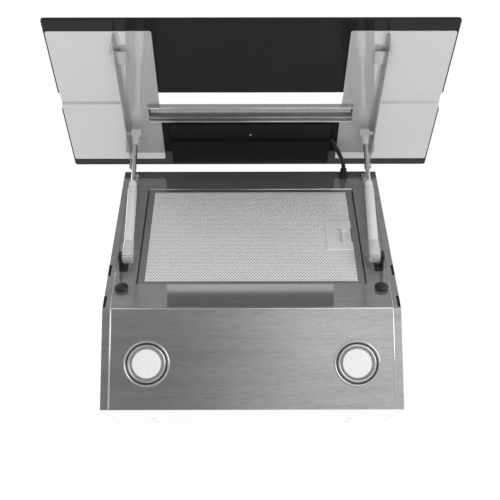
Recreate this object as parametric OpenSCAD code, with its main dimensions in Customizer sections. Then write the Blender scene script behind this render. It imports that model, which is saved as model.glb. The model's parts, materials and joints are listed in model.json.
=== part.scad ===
// Angled range hood: a wedge-shaped steel body held on a wall, with an inclined
// filter face, a two-pane black glass door hinged at its top front edge, and a
// gas strut on each side that holds the door open.
// X runs along the width, +Y points at the wall and +Z is up. The origin is the
// centre of the four wall screws, on the back of the body.

/* [Body] */
// Width of the steel body
body_w = 425; // [400:1:480]
// Depth of the level lamp face, from the wall to the fold
light_depth = 143.4; // [125:0.1:165]
// Length of the inclined face above the filter opening
face_top = 60; // [50:1:80]
// Angle of the inclined face above the level
face_tilt = 44.7; // [42:0.1:48]
// Thickness of the body sheet
sheet_t = 1; // [0.8:0.1:1.5]
// Width of the side panel's folded strip beside the faces
strip_w = 11; // [9:0.5:14]
// Height of the wall screws above the lamp face
mount_height = 200; // [185:1:215]
// Distance between the wall screws along the width
mount_x = 300; // [240:1:320]
// Distance between the wall screws up the wall
mount_z = 60; // [50:1:80]
// Radius of the wall screw holes
mount_hole_r = 4; // [3:0.1:5]

/* [Filter] */
// Distance from each side of the body to the filter opening
filter_side = 44.5; // [44:0.5:56]
// Length of the filter opening up the face
filter_len = 275; // [260:1:276]
// Distance from the fold to the filter opening
filter_start = 60; // [58:0.5:64]
// Thickness of the filter frame
filter_t = 9; // [7:0.5:11]
// Width of the filter frame's side borders
filter_border = 10; // [8:0.5:14]
// Running gap around the filter
filter_gap = 0.8; // [0.6:0.1:1]
// Travel of the filter's latch
latch_travel = 6; // [4:0.5:7]

/* [Lamps] */
// Distance of each lamp in from the body's side
lamp_in = 64.1; // [56:0.1:80]
// Distance of the lamps from the wall
lamp_y = 64.6; // [55:0.1:75]
// Outer radius of the lamp bezel
lamp_r = 33; // [30:0.5:36]
// Radius of the lamp's inner ring
lamp_ring_r = 25; // [24:0.5:26]
// Radius of the lamp's lens
lamp_lens_r = 20.5; // [19:0.1:21]

/* [Door] */
// Width of the glass door
door_w = 598; // [560:1:640]
// Length of the glass door
door_len = 400; // [390:1:410]
// Thickness of the glass
glass_t = 4; // [3:0.5:5]
// Distance from the glass to the hinge axis
hinge_off = 20.3; // [19:0.1:22]
// Distance of the hinge axis from the door's upper edge
hinge_edge = 29.5; // [28:0.1:32]
// Distance of the hinge axis below the body's top edge, along the face
hinge_drop = 9.5; // [8:0.1:12]
// Distance of the hinge axis out from the inclined face
hinge_out = 16.6; // [16:0.1:18]
// Angle through which the door opens
door_open = 59.8; // [55:0.1:62]
// End of the lower pane, from the door's upper edge
pane_low_end = 171; // [168:1:174]
// Start of the upper pane, from the door's upper edge
pane_high_start = 216.5; // [208:0.5:224]
// Radius of the glass corners
glass_corner = 5; // [3:0.5:8]
// Distance of each mirror plate's inner edge from the middle
plate_in = 143.5; // [138:0.5:150]
// Distance of each mirror plate's outer edge in from the glass's side
plate_side = 2.5; // [2:0.5:20]
// Start of the mirror plates, from the door's upper edge
plate_start = 22; // [20:1:24]
// End of the mirror plates, from the door's upper edge
plate_end = 373.5; // [360:0.5:384]
// Thickness of the mirror plates
plate_t = 1.5; // [1:0.1:2]
// Distance of each rail's outer side in from the body's side
rail_in = 12.5; // [11.5:0.5:14]
// Height of the rails over the glass
rail_h = 25; // [22:0.5:26]
// Half width of the control box
box_half = 130; // [110:1:135]
// Height of the control box over the glass
box_h = 14; // [12:0.5:16]

/* [Struts] */
// Distance of each gas strut in from the body's side
strut_in = 28.8; // [28:0.1:30]
// Radius of the strut's cylinder
strut_r = 7.2; // [6.6:0.1:7.6]
// Radius of the strut's rod
rod_r = 3.5; // [3:0.1:4.5]
// Length of the strut's cylinder
tube_len = 120; // [113:1:122]
// Distance of the lower strut pivot from the fold, up the face
strut_s = 107; // [104:0.5:110]
// Distance of the lower strut pivot out from the face
strut_out = 18; // [17:0.1:19]
// Distance of the upper strut joint from the door's upper edge
joint_t = 127; // [124:1:130]
// Distance of the upper strut joint from the glass
joint_off = 17; // [16.5:0.1:18]

/* [Duct] */
// Outer radius of the duct collar
duct_r = 75; // [70:0.5:78]
// Height of the duct collar over its flange
duct_h = 42; // [38:1:60]
// Distance of the duct's centre from the wall
duct_y = 160; // [150:1:175]
// Outer radius of the fan wheel
wheel_r = 62; // [56:0.5:64]
// Width of the fan wheel
wheel_w = 90; // [80:1:94]

/* [Hidden] */

// Shared small sizes
round_fn = 64;
small_fn = 32;
cut = 1;
seam = 0.3;
fit_gap = 0.05;

// Body outline, worked out from the faces
half_w = body_w / 2;
filter_w = body_w - 2 * filter_side;
face_len = filter_start + filter_len + face_top;
lamp_x = half_w - lamp_in;
strut_x = half_w - strut_in;
rail_x = half_w - rail_in;
plate_out = door_w / 2 - plate_side;
face_cos = cos(face_tilt);
face_sin = sin(face_tilt);
top_y = -light_depth - face_len * face_cos;
top_z = face_len * face_sin;
inner_fold_y = -light_depth + sheet_t * tan(face_tilt / 2);
lip_y = top_y + sheet_t / face_sin;
front_half = half_w - strip_w - seam;

// Door and strut places, worked out from the faces
hinge_s = face_len - hinge_drop;
hinge_y = -light_depth - hinge_s * face_cos - hinge_out * face_sin;
hinge_z = hinge_s * face_sin - hinge_out * face_cos;
door_turn = -(face_tilt + door_open);
glass_z = -hinge_off;
strut_y = -light_depth - strut_s * face_cos - strut_out * face_sin;
strut_z = strut_s * face_sin - strut_out * face_cos;
joint_y = joint_t - hinge_edge;
joint_z = joint_off - hinge_off;
joint_at = [hinge_y + joint_y * cos(door_turn) - joint_z * sin(door_turn),
    hinge_z + joint_y * sin(door_turn) + joint_z * cos(door_turn)];
strut_dy = joint_at[0] - strut_y;
strut_dz = joint_at[1] - strut_z;
strut_len = sqrt(strut_dy * strut_dy + strut_dz * strut_dz);
strut_turn = atan2(strut_dz, strut_dy);

// Side panel details
slot_len = 28;
slot_w = 4.5;
slot_depth = 5;
slot_starts = [3, 83];

// Wall fixing details
plate_edge = 25;
wall_plate_t = 2;

// Filter seat and latch details
seat_wall = 1.2;
seat_lip = 5;
seat_gap = 0.6;
mesh_t = 1.2;
frame_end = 7.5;
frame_sink = 0.5;
frame_skin = 1;
tab_w = 5;
tab_len = 20;
tab_places = [60, 195];
latch_low = 154;
latch_high = 237;
latch_reach = 51;
latch_left = filter_w / 2 - latch_reach;
latch_plate_t = 1;
slide_low = 175;
slide_high = 215;
slide_reach = 27;
slide_left = filter_w / 2 - slide_reach;
slide_w = 14;
slide_t = 3;
spring_t = 0.6;
spring_w = 8;

// Lamp details
bezel_proud = 1.6;
bezel_groove = 1.2;
bezel_depth = 12;
bezel_land = 3.5;
lens_t = 2;
lens_gap = 0.2;
body_depth = 22;
body_wall = 1.5;
board_t = 1.6;
board_z = 7;
led_r = 2.6;
led_h = 1.4;
led_ring = 13;
led_count = 5;

// Hinge details
ear_inset = 18.3;
ear_in = half_w - ear_inset;
ear_t = 3;
ear_r = 9;
ear_side = 7;
pin_r = 3;
pin_head_r = 5;
pin_head_t = 3;
foot_len = 34;
foot_w = 10;
foot_end = 6;
foot_t = 2;
bolt_r = 2.5;
bolt_head_r = 3.2;
bolt_head_t = 3;
bolt_drops = [16, 30];
bolt_grip = 6;

// Rail details
rail_t = 1.5;
rail_start = 16;
rail_end = 371;
rail_foot = 9;
rail_foot_t = 1.2;
rail_ear_r = 8.5;
striker_end = 334;
striker_len = 31;
striker_inside = 18.5;
striker_outside = 7;
striker_in = rail_x - striker_inside;
striker_out = rail_x + striker_outside;
striker_t = 1.5;
striker_off = 7;
striker_corner = 3;

// Mirror plate details
plate_corner = 4;
band_depth = 3;
channel_start = 187;
brace_start = 140;
brace_end = 188;
brace_inset = 38;
brace_half = rail_x - brace_inset;
brace_t = 1.5;
brace_fold = 8;
brace_rib_w = 5;
brace_rib_h = 3;
brace_rib_at = 0.16;
brace_lip = 3;

// Control box details
box_start = 28;
box_step = 95;
box_end = 137;
box_low_h = 10;
box_wall = 2;
box_lid_t = 1.6;
box_corner = 3;
control_board_t = 1.6;
control_board_in = 8;
screw_t = 110;
screw_r = 2.5;
screw_h = 1.2;

// Strut details
stud_r = 4;
socket_r = 8.4;
socket_neck_r = 8;
socket_tail = 6.5;
socket_fork = 7;
tube_start = 24.7;
cap_r = 6.2;
cap_len = 14;
tube_floor = 5;
rod_bore_gap = 0.06;
rod_reach = 44;
end_r = 7.8;
end_half = 7.5;
end_len = 26;
end_neck_r = 4.6;
joint_gap = 0.4;
bracket_t = 3.2;
bracket_inset = 18.9;
bracket_in = half_w - bracket_inset;
bracket_low = 8;
bracket_high = 12;
bracket_top = 6;
bracket_foot_inset = 28.9;
bracket_foot_in = half_w - bracket_foot_inset;
bracket_foot_low = 14;
bracket_foot_high = 17;
bracket_screw_up = -1.5;
bracket_corner = 4;
screw_head_r = 3.8;
screw_head_t = 1.6;
screw_shank_r = 2;
strut_pin_head_t = 1.2;
stud_flange_r = 6;
stud_flange_t = 1.2;

// Bumper, grommet and cable details
bumper_s = 48;
bumper_inset = 23.5;
bumper_x = half_w - bumper_inset;
bumper_r = 10;
bumper_cap_t = 4;
bumper_stem_r = 6;
bumper_h = 7;
bumper_plug_r = 4;
bumper_plug = 5;
grommet_inset = 56;
grommet_x = half_w - grommet_inset;
grommet_drop = 18;
grommet_r = 8;
grommet_tip_r = 4.8;
grommet_h = 16;
grommet_flange_t = 2;
grommet_hole_r = 5.6;
grommet_inside = 4;
cable_r = 3.4;
cable_sides = 8;
cable_low = -4.8;
cable_t = 88;
cable_high = 6.5;
cable_hole_gap = 0.4;
cable_lead = 2.5;
cable_clear = 1;
cable_across_shares = [1, 0.96, 0.88, 0.76, 0.61, 0.45, 0.3, 0.19];
cable_out_shares = [0, 0.12, 0.26, 0.41, 0.57, 0.72, 0.87, 0.97];

// Duct, damper and blower details
collar_wall = 1.5;
collar_flange = 13;
collar_flange_t = 1.5;
collar_screw_pcd = 165;
collar_screw_count = 4;
damper_pin_r = 2;
flap_t = 1.2;
flap_gap = 1.2;
knuckle_r = 3.4;
damper_up = knuckle_r + seam;
knuckle_len = 18;
knuckle_front = 28;
knuckle_rear = 5;
ledge = 2.5;
blower_y = 150;
blower_z = 150;
scroll_r = 80;
scroll_shift = 8;
scroll_w = 112;
scroll_wall = 1.5;
neck_half = 48;
inlet_r = 50;
foot_flange = 10;
motor_r = 38;
motor_start = 7;
shaft_r = 4;
shaft_tail = 10;
hub_t = 3;
hub_r = 12;
wheel_ring_t = 2;
blade_count = 24;
blade_t = 1.2;
blade_deep = 12;
arm_w = 10;
arm_count = 3;
bracket_plate_t = 2;
bracket_ring_w = 7;
terminal_w = 70;
terminal_d = 45;
terminal_h = 50;
terminal_inset = 62.5;
terminal_x = half_w - terminal_inset;
terminal_back = -sheet_t - wall_plate_t;
gland_r = 8;
gland_h = 14;
gland_nut_r = 11;
gland_nut_t = 5;
driver_w = 110;
driver_d = 40;
driver_h = 24;
driver_wall = 2;

// Frames of reference
module lifted() {
    translate([0, 0, -mount_height]) children();
}

module on_face() {
    lifted() translate([0, -light_depth, 0]) rotate([180 - face_tilt, 0, 0]) children();
}

module on_door() {
    lifted() translate([0, hinge_y, hinge_z]) rotate([door_turn, 0, 0]) children();
}

module on_strut() {
    lifted() translate([0, strut_y, strut_z]) rotate([strut_turn, 0, 0]) children();
}

module at_side(side) {
    if (side > 0) children();
    else mirror([1, 0, 0]) children();
}

module pair() {
    at_side(1) children();
    at_side(-1) children();
}

// A round bar along X from one place to another
module bar_x(from, to, r) {
    translate([from, 0, 0]) rotate([0, 90, 0]) cylinder(h = to - from, r = r, $fn = round_fn);
}

// A flat outline drawn as depth and height, given a width along X
module slab_x(from, to) {
    translate([from, 0, 0]) rotate([90, 0, 90]) linear_extrude(to - from) children();
}

// A block between two corners
module block(low, high) {
    translate(low) cube([high[0] - low[0], high[1] - low[1], high[2] - low[2]]);
}

// A rectangle with round corners, chosen corner by corner: low left, low right,
// high right, high left
module round_plate(low, high, r, corners, t) {
    difference() {
        block([low[0], low[1], 0], [high[0], high[1], t]);
        spots = [[low[0], low[1], 1, 1], [high[0], low[1], -1, 1],
            [high[0], high[1], -1, -1], [low[0], high[1], 1, -1]];
        for (i = [0:3]) if (corners[i]) corner_cut(spots[i], r, t);
    }
}

module corner_cut(spot, r, t) {
    translate([spot[0], spot[1], -cut]) difference() {
        block([min(-cut, spot[2] * r), min(-cut, spot[3] * r), 0],
            [max(cut, spot[2] * r), max(cut, spot[3] * r), t + 2 * cut]);
        translate([spot[2] * r, spot[3] * r, -cut])
            cylinder(h = t + 4 * cut, r = r, $fn = small_fn);
        block([min(0, -spot[2] * cut) * 2, spot[3] > 0 ? r : -r - cut, -cut],
            [max(0, -spot[2] * cut) * 2, spot[3] > 0 ? r + cut : -r, t + 4 * cut]);
    }
}

// Folded sheet of the two faces, as an outline of depth and height
module face_outline() {
    polygon([[0, 0], [-light_depth, 0], [top_y, top_z], [lip_y, top_z],
        [inner_fold_y, sheet_t], [0, sheet_t]]);
}

module wedge_outline() {
    polygon([[0, 0], [-light_depth, 0], [top_y, top_z], [0, top_z]]);
}

// Body shell
module front_panel() {
    color("silver") difference() {
        union() {
            lifted() slab_x(-front_half, front_half) face_outline();
            filter_seat();
        }
        on_face() block([-filter_w / 2, filter_start, -sheet_t - cut],
            [filter_w / 2, filter_start + filter_len, cut]);
        lamp_places() translate([0, 0, -cut])
            cylinder(h = sheet_t + 2 * cut, r = lamp_r - bezel_land, $fn = round_fn);
        pair() bolt_places() translate([0, 0, -sheet_t - cut])
            cylinder(h = sheet_t + 2 * cut, r = bolt_r + fit_gap, $fn = small_fn);
        pair() bracket_screw_place() translate([0, 0, -sheet_t - cut])
            cylinder(h = sheet_t + 2 * cut, r = screw_shank_r + fit_gap, $fn = small_fn);
        pair() bumper_place() translate([0, 0, -sheet_t - cut])
            cylinder(h = sheet_t + 2 * cut, r = bumper_plug_r + fit_gap, $fn = small_fn);
        grommet_place() translate([0, 0, -sheet_t - cut])
            cylinder(h = sheet_t + 2 * cut, r = grommet_hole_r + fit_gap, $fn = small_fn);
    }
}

// Ledges behind the ends of the opening that the filter rests on
module filter_seat() {
    seat_low = -sheet_t - filter_t - seat_gap - seat_wall;
    on_face() for (end = [0, 1]) {
        edge = filter_start + end * filter_len;
        out = end > 0 ? 1 : -1;
        block([-filter_w / 2, min(edge, edge + out * seat_wall), seat_low],
            [filter_w / 2, max(edge, edge + out * seat_wall), -sheet_t / 2]);
        block([-filter_w / 2, min(edge + out * seat_wall, edge - out * seat_lip), seat_low],
            [filter_w / 2, max(edge + out * seat_wall, edge - out * seat_lip), seat_low + seat_wall]);
    }
}

module side_panel(side) {
    color("silver") at_side(side) difference() {
        union() {
            lifted() slab_x(half_w - sheet_t, half_w) wedge_outline();
            lifted() slab_x(half_w - strip_w, half_w) face_outline();
        }
        on_face() for (start = slot_starts)
            block([half_w - slot_w, start, -slot_depth], [half_w + cut, start + slot_len, cut]);
    }
}

module wall_holes() {
    for (x = [-mount_x / 2, mount_x / 2], z = [-mount_z / 2, mount_z / 2])
        translate([x, cut, z]) rotate([90, 0, 0])
            cylinder(h = sheet_t + wall_plate_t + 2 * cut, r = mount_hole_r, $fn = small_fn);
}

module back_panel() {
    color("silver") difference() {
        lifted() block([-half_w + sheet_t, -sheet_t, sheet_t], [half_w - sheet_t, 0, top_z]);
        wall_holes();
    }
}

module mounting_plate() {
    color("gray") difference() {
        block([-mount_x / 2 - plate_edge, -sheet_t - wall_plate_t, -mount_z / 2 - plate_edge],
            [mount_x / 2 + plate_edge, -sheet_t, mount_z / 2 + plate_edge]);
        wall_holes();
    }
}

module top_panel() {
    front_edge = lip_y + sheet_t / tan(face_tilt) + seam;
    color("silver") difference() {
        lifted() block([-half_w + sheet_t, front_edge, top_z - sheet_t],
            [half_w - sheet_t, -sheet_t, top_z]);
        duct_place() translate([0, 0, -sheet_t - cut])
            cylinder(h = sheet_t + 2 * cut, r = duct_r - collar_wall, $fn = round_fn);
        collar_screw_places() translate([0, 0, -sheet_t - cut])
            cylinder(h = sheet_t + 2 * cut, r = screw_shank_r + fit_gap, $fn = small_fn);
        gland_place() translate([0, 0, -sheet_t - cut])
            cylinder(h = sheet_t + 2 * cut, r = gland_r + fit_gap, $fn = small_fn);
    }
}

// Duct collar and its two damper flaps
module duct_place() {
    lifted() translate([0, -duct_y, top_z]) children();
}

module collar_screw_places() {
    duct_place() for (i = [0:collar_screw_count - 1])
        rotate([0, 0, i * 360 / collar_screw_count])
            translate([collar_screw_pcd / 2, 0, 0]) children();
}

module damper_place() {
    duct_place() translate([0, 0, collar_flange_t + damper_up]) children();
}

module duct_collar() {
    color("dimgray") difference() {
        duct_place() rotate_extrude($fn = round_fn) {
            translate([duct_r - collar_wall, 0]) square([collar_wall, collar_flange_t + duct_h]);
            translate([duct_r - collar_wall, 0]) square([collar_wall + collar_flange, collar_flange_t]);
            translate([duct_r - collar_wall - ledge, 0]) square([ledge + cut, collar_flange_t]);
        }
        collar_screw_places() translate([0, 0, -cut])
            cylinder(h = collar_flange_t + 2 * cut, r = screw_shank_r + fit_gap, $fn = small_fn);
        damper_place() bar_x(-duct_r - cut, duct_r + cut, damper_pin_r + fit_gap);
    }
}

module collar_screws() {
    color("lightgray") collar_screw_places() {
        translate([0, 0, collar_flange_t])
            cylinder(h = screw_head_t, r = screw_head_r, $fn = small_fn);
        translate([0, 0, -bolt_grip]) cylinder(h = bolt_grip + collar_flange_t + screw_head_t / 2,
            r = screw_shank_r, $fn = small_fn);
    }
}

module damper_pin() {
    color("lightgray") damper_place() bar_x(-duct_r + seam, duct_r - seam, damper_pin_r);
}

// One half disc with two knuckles on the pin. Its plate lies below the pin's level.
module damper_flap(side, knuckle_from) {
    flap_r = duct_r - collar_wall - flap_gap;
    color("dimgray") damper_place() {
        translate([0, 0, -knuckle_r]) difference() {
            cylinder(h = flap_t, r = flap_r, $fn = round_fn);
            block([-flap_r - cut, min(0, -side * duct_r * 2), -cut],
                [flap_r + cut, max(0, -side * duct_r * 2), flap_t + cut]);
            for (k = [-1, 1], m = [knuckle_front, knuckle_rear]) block(
                [k * m + (k < 0 ? -knuckle_len : 0) - flap_gap, -knuckle_r - flap_gap, -cut],
                [k * m + (k < 0 ? 0 : knuckle_len) + flap_gap, knuckle_r + flap_gap, flap_t + cut]);
        }
        for (k = [-1, 1]) translate([k < 0 ? -knuckle_from - knuckle_len : knuckle_from, 0, 0])
            flap_knuckle(side);
    }
}

module flap_knuckle(side) {
    reach = knuckle_r + flap_gap + knuckle_r / 2;
    difference() {
        union() {
            bar_x(0, knuckle_len, knuckle_r);
            block([0, min(0, side * reach), -knuckle_r],
                [knuckle_len, max(0, side * reach), flap_t - knuckle_r]);
        }
        bar_x(-cut, knuckle_len + cut, damper_pin_r + fit_gap);
    }
}

// Blower: a scroll open at both sides, a two-sided wheel and a motor inside it
module blower_place() {
    lifted() translate([0, -blower_y, blower_z]) children();
}

module scroll_outline(grow) {
    union() {
        translate([-scroll_shift, 0]) circle(r = scroll_r + grow, $fn = round_fn);
        translate([blower_y - duct_y - neck_half - grow, 0])
            square([2 * (neck_half + grow), top_z - sheet_t - blower_z]);
    }
}

module scroll_housing() {
    neck_top = top_z - sheet_t - blower_z;
    color("gray") blower_place() difference() {
        union() {
            slab_x(-scroll_w / 2, scroll_w / 2) scroll_outline(0);
            block([-scroll_w / 2 - foot_flange, blower_y - duct_y - neck_half - foot_flange,
                neck_top - scroll_wall],
                [scroll_w / 2 + foot_flange, blower_y - duct_y + neck_half + foot_flange, neck_top]);
        }
        slab_x(-scroll_w / 2 + scroll_wall, scroll_w / 2 - scroll_wall) scroll_outline(-scroll_wall);
        translate([0, blower_y - duct_y, 0]) block(
            [-scroll_w / 2 + scroll_wall, -neck_half + scroll_wall, 0],
            [scroll_w / 2 - scroll_wall, neck_half - scroll_wall, neck_top + cut]);
        bar_x(-scroll_w, scroll_w, inlet_r);
        blower_screw_spots() translate([0, 0, -scroll_wall - cut])
            cylinder(h = scroll_wall + 2 * cut, r = screw_shank_r + fit_gap, $fn = small_fn);
    }
}

module blower_screw_spots() {
    for (x = [-1, 1], y = [-1, 1])
        translate([x * (scroll_w + foot_flange) / 2, blower_y - duct_y + y * (neck_half + foot_flange / 2),
            top_z - sheet_t - blower_z]) children();
}

module blower_screws() {
    color("lightgray") blower_place() blower_screw_spots() {
        translate([0, 0, -scroll_wall - screw_head_t])
            cylinder(h = screw_head_t, r = screw_head_r, $fn = small_fn);
        translate([0, 0, -scroll_wall - screw_head_t / 2])
            cylinder(h = scroll_wall + screw_head_t / 2, r = screw_shank_r, $fn = small_fn);
    }
}

module impeller() {
    color("dimgray") blower_place() {
        difference() {
            bar_x(-hub_t / 2, hub_t / 2, wheel_r);
            bar_x(-hub_t, hub_t, shaft_r);
        }
        difference() {
            bar_x(-hub_t * 2, -hub_t / 2, hub_r);
            bar_x(-hub_t * 3, hub_t, shaft_r);
        }
        for (side = [-1, 1]) translate([side * (wheel_w - wheel_ring_t) / 2, 0, 0]) difference() {
            bar_x(-wheel_ring_t / 2, wheel_ring_t / 2, wheel_r);
            bar_x(-wheel_ring_t, wheel_ring_t, wheel_r - blade_deep);
        }
        for (i = [0:blade_count - 1]) rotate([i * 360 / blade_count, 0, 0])
            block([-wheel_w / 2 + wheel_ring_t / 2, wheel_r - blade_deep + blade_t, -blade_t / 2],
                [wheel_w / 2 - wheel_ring_t / 2, wheel_r - blade_t, blade_t / 2]);
    }
}

module motor() {
    color("gray") blower_place() difference() {
        bar_x(motor_start, scroll_w / 2, motor_r);
        bar_x(motor_start - cut, scroll_w / 2 - shaft_tail + fit_gap, shaft_r + fit_gap);
    }
}

module motor_shaft() {
    color("lightgray") blower_place()
        bar_x(-hub_t * 2 - shaft_tail / 2, scroll_w / 2 - shaft_tail, shaft_r);
}

module motor_bracket() {
    color("gray") blower_place() slab_x(scroll_w / 2, scroll_w / 2 + bracket_plate_t) {
        difference() {
            circle(r = inlet_r + bracket_ring_w, $fn = round_fn);
            circle(r = inlet_r - bracket_ring_w / 2, $fn = round_fn);
        }
        circle(r = motor_r - bracket_ring_w, $fn = round_fn);
        for (i = [0:arm_count - 1]) rotate(i * 360 / arm_count)
            translate([0, -arm_w / 2]) square([inlet_r, arm_w]);
    }
}

// Electrical boxes
module terminal_box() {
    color("dimgray") lifted() difference() {
        block([terminal_x - terminal_w / 2, terminal_back - terminal_d, top_z - sheet_t - terminal_h],
            [half_w - sheet_t - seam, terminal_back, top_z - sheet_t]);
        translate([0, driver_wall, driver_wall]) block([terminal_x - terminal_w / 2 + driver_wall,
            terminal_back - terminal_d, top_z - sheet_t - terminal_h],
            [half_w - sheet_t - seam - driver_wall, terminal_back - 2 * driver_wall, top_z]);
    }
}

module gland_place() {
    lifted() translate([terminal_x, terminal_back - terminal_d / 2, top_z]) children();
}

module cable_gland() {
    color("black") gland_place() difference() {
        union() {
            translate([0, 0, -sheet_t - bumper_plug]) cylinder(h = gland_h + sheet_t + bumper_plug,
                r = gland_r, $fn = small_fn);
            cylinder(h = gland_nut_t, r = gland_nut_r, $fn = small_fn);
        }
        translate([0, 0, -gland_h]) cylinder(h = 3 * gland_h, r = gland_r / 2, $fn = small_fn);
    }
}

module lamp_driver() {
    color("dimgray") lifted() difference() {
        block([-driver_w / 2, -lamp_y - driver_d / 2, sheet_t],
            [driver_w / 2, -lamp_y + driver_d / 2, sheet_t + driver_h]);
        translate([0, 0, sheet_t + driver_wall]) block([-driver_w / 2 + driver_wall,
            -lamp_y - driver_d / 2 + driver_wall, 0],
            [driver_w / 2 - driver_wall, -lamp_y + driver_d / 2 - driver_wall, driver_h - 2 * driver_wall]);
    }
}

// Lamps. Local height is counted up into the body.
module lamp_places() {
    lifted() for (side = [-1, 1]) translate([side * lamp_x, -lamp_y, 0]) children();
}

module lamp_bezels() {
    neck = lamp_r - bezel_land - fit_gap;
    mid = (lamp_r + lamp_ring_r) / 2;
    color("silver") lamp_places() rotate_extrude($fn = round_fn) polygon([
        [lamp_r, 0], [lamp_r - bezel_proud / 2, -bezel_proud], [mid + bezel_groove, -bezel_proud],
        [mid, -bezel_proud / 2], [lamp_ring_r + bezel_groove, -bezel_proud / 2],
        [lamp_ring_r, -bezel_proud], [lamp_ring_r - bezel_groove, -bezel_proud],
        [lamp_lens_r + lens_gap, lens_gap], [lamp_lens_r + lens_gap, bezel_depth],
        [neck, bezel_depth], [neck, 0]]);
}

module lamp_lenses() {
    color("white") lamp_places() cylinder(h = lens_t, r = lamp_lens_r, $fn = round_fn);
}

module lamp_bodies() {
    neck = lamp_r - bezel_land - fit_gap;
    color("gray") lamp_places() difference() {
        translate([0, 0, bezel_depth]) cylinder(h = body_depth - bezel_depth, r = neck, $fn = round_fn);
        translate([0, 0, bezel_depth - cut])
            cylinder(h = body_depth - bezel_depth - body_wall + cut, r = neck - body_wall, $fn = round_fn);
    }
}

module led_boards() {
    color("white") lamp_places() {
        translate([0, 0, board_z]) cylinder(h = board_t, r = lamp_lens_r - lens_gap, $fn = round_fn);
        led_at(0);
        for (i = [0:led_count - 1]) rotate([0, 0, i * 360 / led_count]) led_at(led_ring);
        translate([0, 0, board_z + board_t])
            cylinder(h = body_depth - body_wall - board_z - board_t, r = hub_r, $fn = small_fn);
    }
}

module led_at(out) {
    translate([out, 0, board_z - led_h]) cylinder(h = led_h, r = led_r, $fn = small_fn);
}

// Hinges
module bolt_places() {
    on_face() for (drop = bolt_drops)
        translate([ear_in - foot_w / 2 + ear_t / 2, face_len - drop, 0]) children();
}

module hinge_bracket(side) {
    color("silver") at_side(side) difference() {
        union() {
            on_face() block([ear_in + ear_t - foot_w, face_len - foot_len, 0],
                [ear_in + ear_t, face_len - foot_end, foot_t]);
            on_face() slab_x(ear_in, ear_in + ear_t) polygon([[face_len - foot_len, 0],
                [hinge_s + ear_side, 0], [hinge_s + ear_side, hinge_out], [hinge_s - ear_side, hinge_out],
                [face_len - foot_len, foot_t]]);
            on_door() bar_x(ear_in, ear_in + ear_t, ear_r);
        }
        on_door() bar_x(ear_in - cut, ear_in + ear_t + cut, pin_r + fit_gap);
        bolt_places() translate([0, 0, -cut])
            cylinder(h = foot_t + 2 * cut, r = bolt_r + fit_gap, $fn = small_fn);
    }
}

module hinge_pins() {
    color("silver") pair() on_door() {
        bar_x(ear_in - pin_head_t, ear_in, pin_head_r);
        bar_x(ear_in - pin_head_t / 2, rail_x + pin_head_t, pin_r);
        bar_x(rail_x + seam, rail_x + seam + pin_head_t, pin_head_r);
    }
}

module hinge_bolts() {
    color("lightgray") pair() bolt_places() {
        translate([0, 0, foot_t]) cylinder(h = bolt_head_t, r = bolt_head_r, $fn = small_fn);
        translate([0, 0, -bolt_grip]) cylinder(h = bolt_grip + foot_t + bolt_head_t / 2,
            r = bolt_r, $fn = small_fn);
    }
}

// Lower strut brackets
module bracket_screw_place() {
    on_face() translate([(bracket_foot_in + bracket_in) / 2, strut_s + bracket_screw_up, 0]) children();
}

module strut_bracket(side) {
    color("black") at_side(side) difference() {
        on_face() union() {
            round_plate([bracket_foot_in, strut_s - bracket_foot_low],
                [bracket_in + bracket_t, strut_s + bracket_foot_high], bracket_corner,
                [true, true, false, false], foot_t);
            slab_x(bracket_in, bracket_in + bracket_t) polygon([
                [strut_s - bracket_low, 0], [strut_s + bracket_high, 0],
                [strut_s + bracket_top, strut_out + bracket_top],
                [strut_s - bracket_low, strut_out + bracket_top]]);
        }
        on_strut() bar_x(bracket_in - cut, bracket_in + bracket_t + cut, stud_r + fit_gap);
        bracket_screw_place() translate([0, 0, -cut])
            cylinder(h = foot_t + 2 * cut, r = screw_shank_r + fit_gap, $fn = small_fn);
    }
}

module strut_bracket_screws() {
    color("lightgray") pair() bracket_screw_place() {
        translate([0, 0, foot_t]) cylinder(h = screw_head_t, r = screw_head_r, $fn = small_fn);
        translate([0, 0, -bolt_grip]) cylinder(h = bolt_grip + foot_t + screw_head_t / 2,
            r = screw_shank_r, $fn = small_fn);
    }
}

module strut_pins() {
    color("silver") pair() on_strut() {
        bar_x(strut_x - socket_r + seam, bracket_in + bracket_t + seam, stud_r);
        bar_x(bracket_in + bracket_t, bracket_in + bracket_t + strut_pin_head_t, stud_flange_r);
    }
}

// Bumpers, grommet and cable
module bumper_place() {
    on_face() translate([bumper_x, bumper_s, 0]) children();
}

module bumpers() {
    color("black") pair() bumper_place() rotate_extrude($fn = round_fn) polygon([
        [0, -sheet_t - bumper_plug], [bumper_plug_r, -sheet_t - bumper_plug], [bumper_plug_r, 0],
        [bumper_stem_r, 0], [bumper_stem_r, bumper_h - bumper_cap_t], [bumper_r, bumper_h - bumper_cap_t],
        [bumper_r, bumper_h - bumper_cap_t / 2], [bumper_stem_r, bumper_h], [0, bumper_h]]);
}

module grommet_place() {
    on_face() translate([grommet_x, face_len - grommet_drop, 0]) children();
}

module cable_grommet() {
    color("black") grommet_place() rotate_extrude($fn = round_fn) polygon([
        [cable_r + fit_gap, -sheet_t - grommet_inside], [grommet_hole_r, -sheet_t - grommet_inside],
        [grommet_hole_r, 0], [grommet_r, 0], [grommet_r, grommet_flange_t],
        [grommet_tip_r, grommet_h], [cable_r + fit_gap, grommet_h]]);
}

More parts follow.
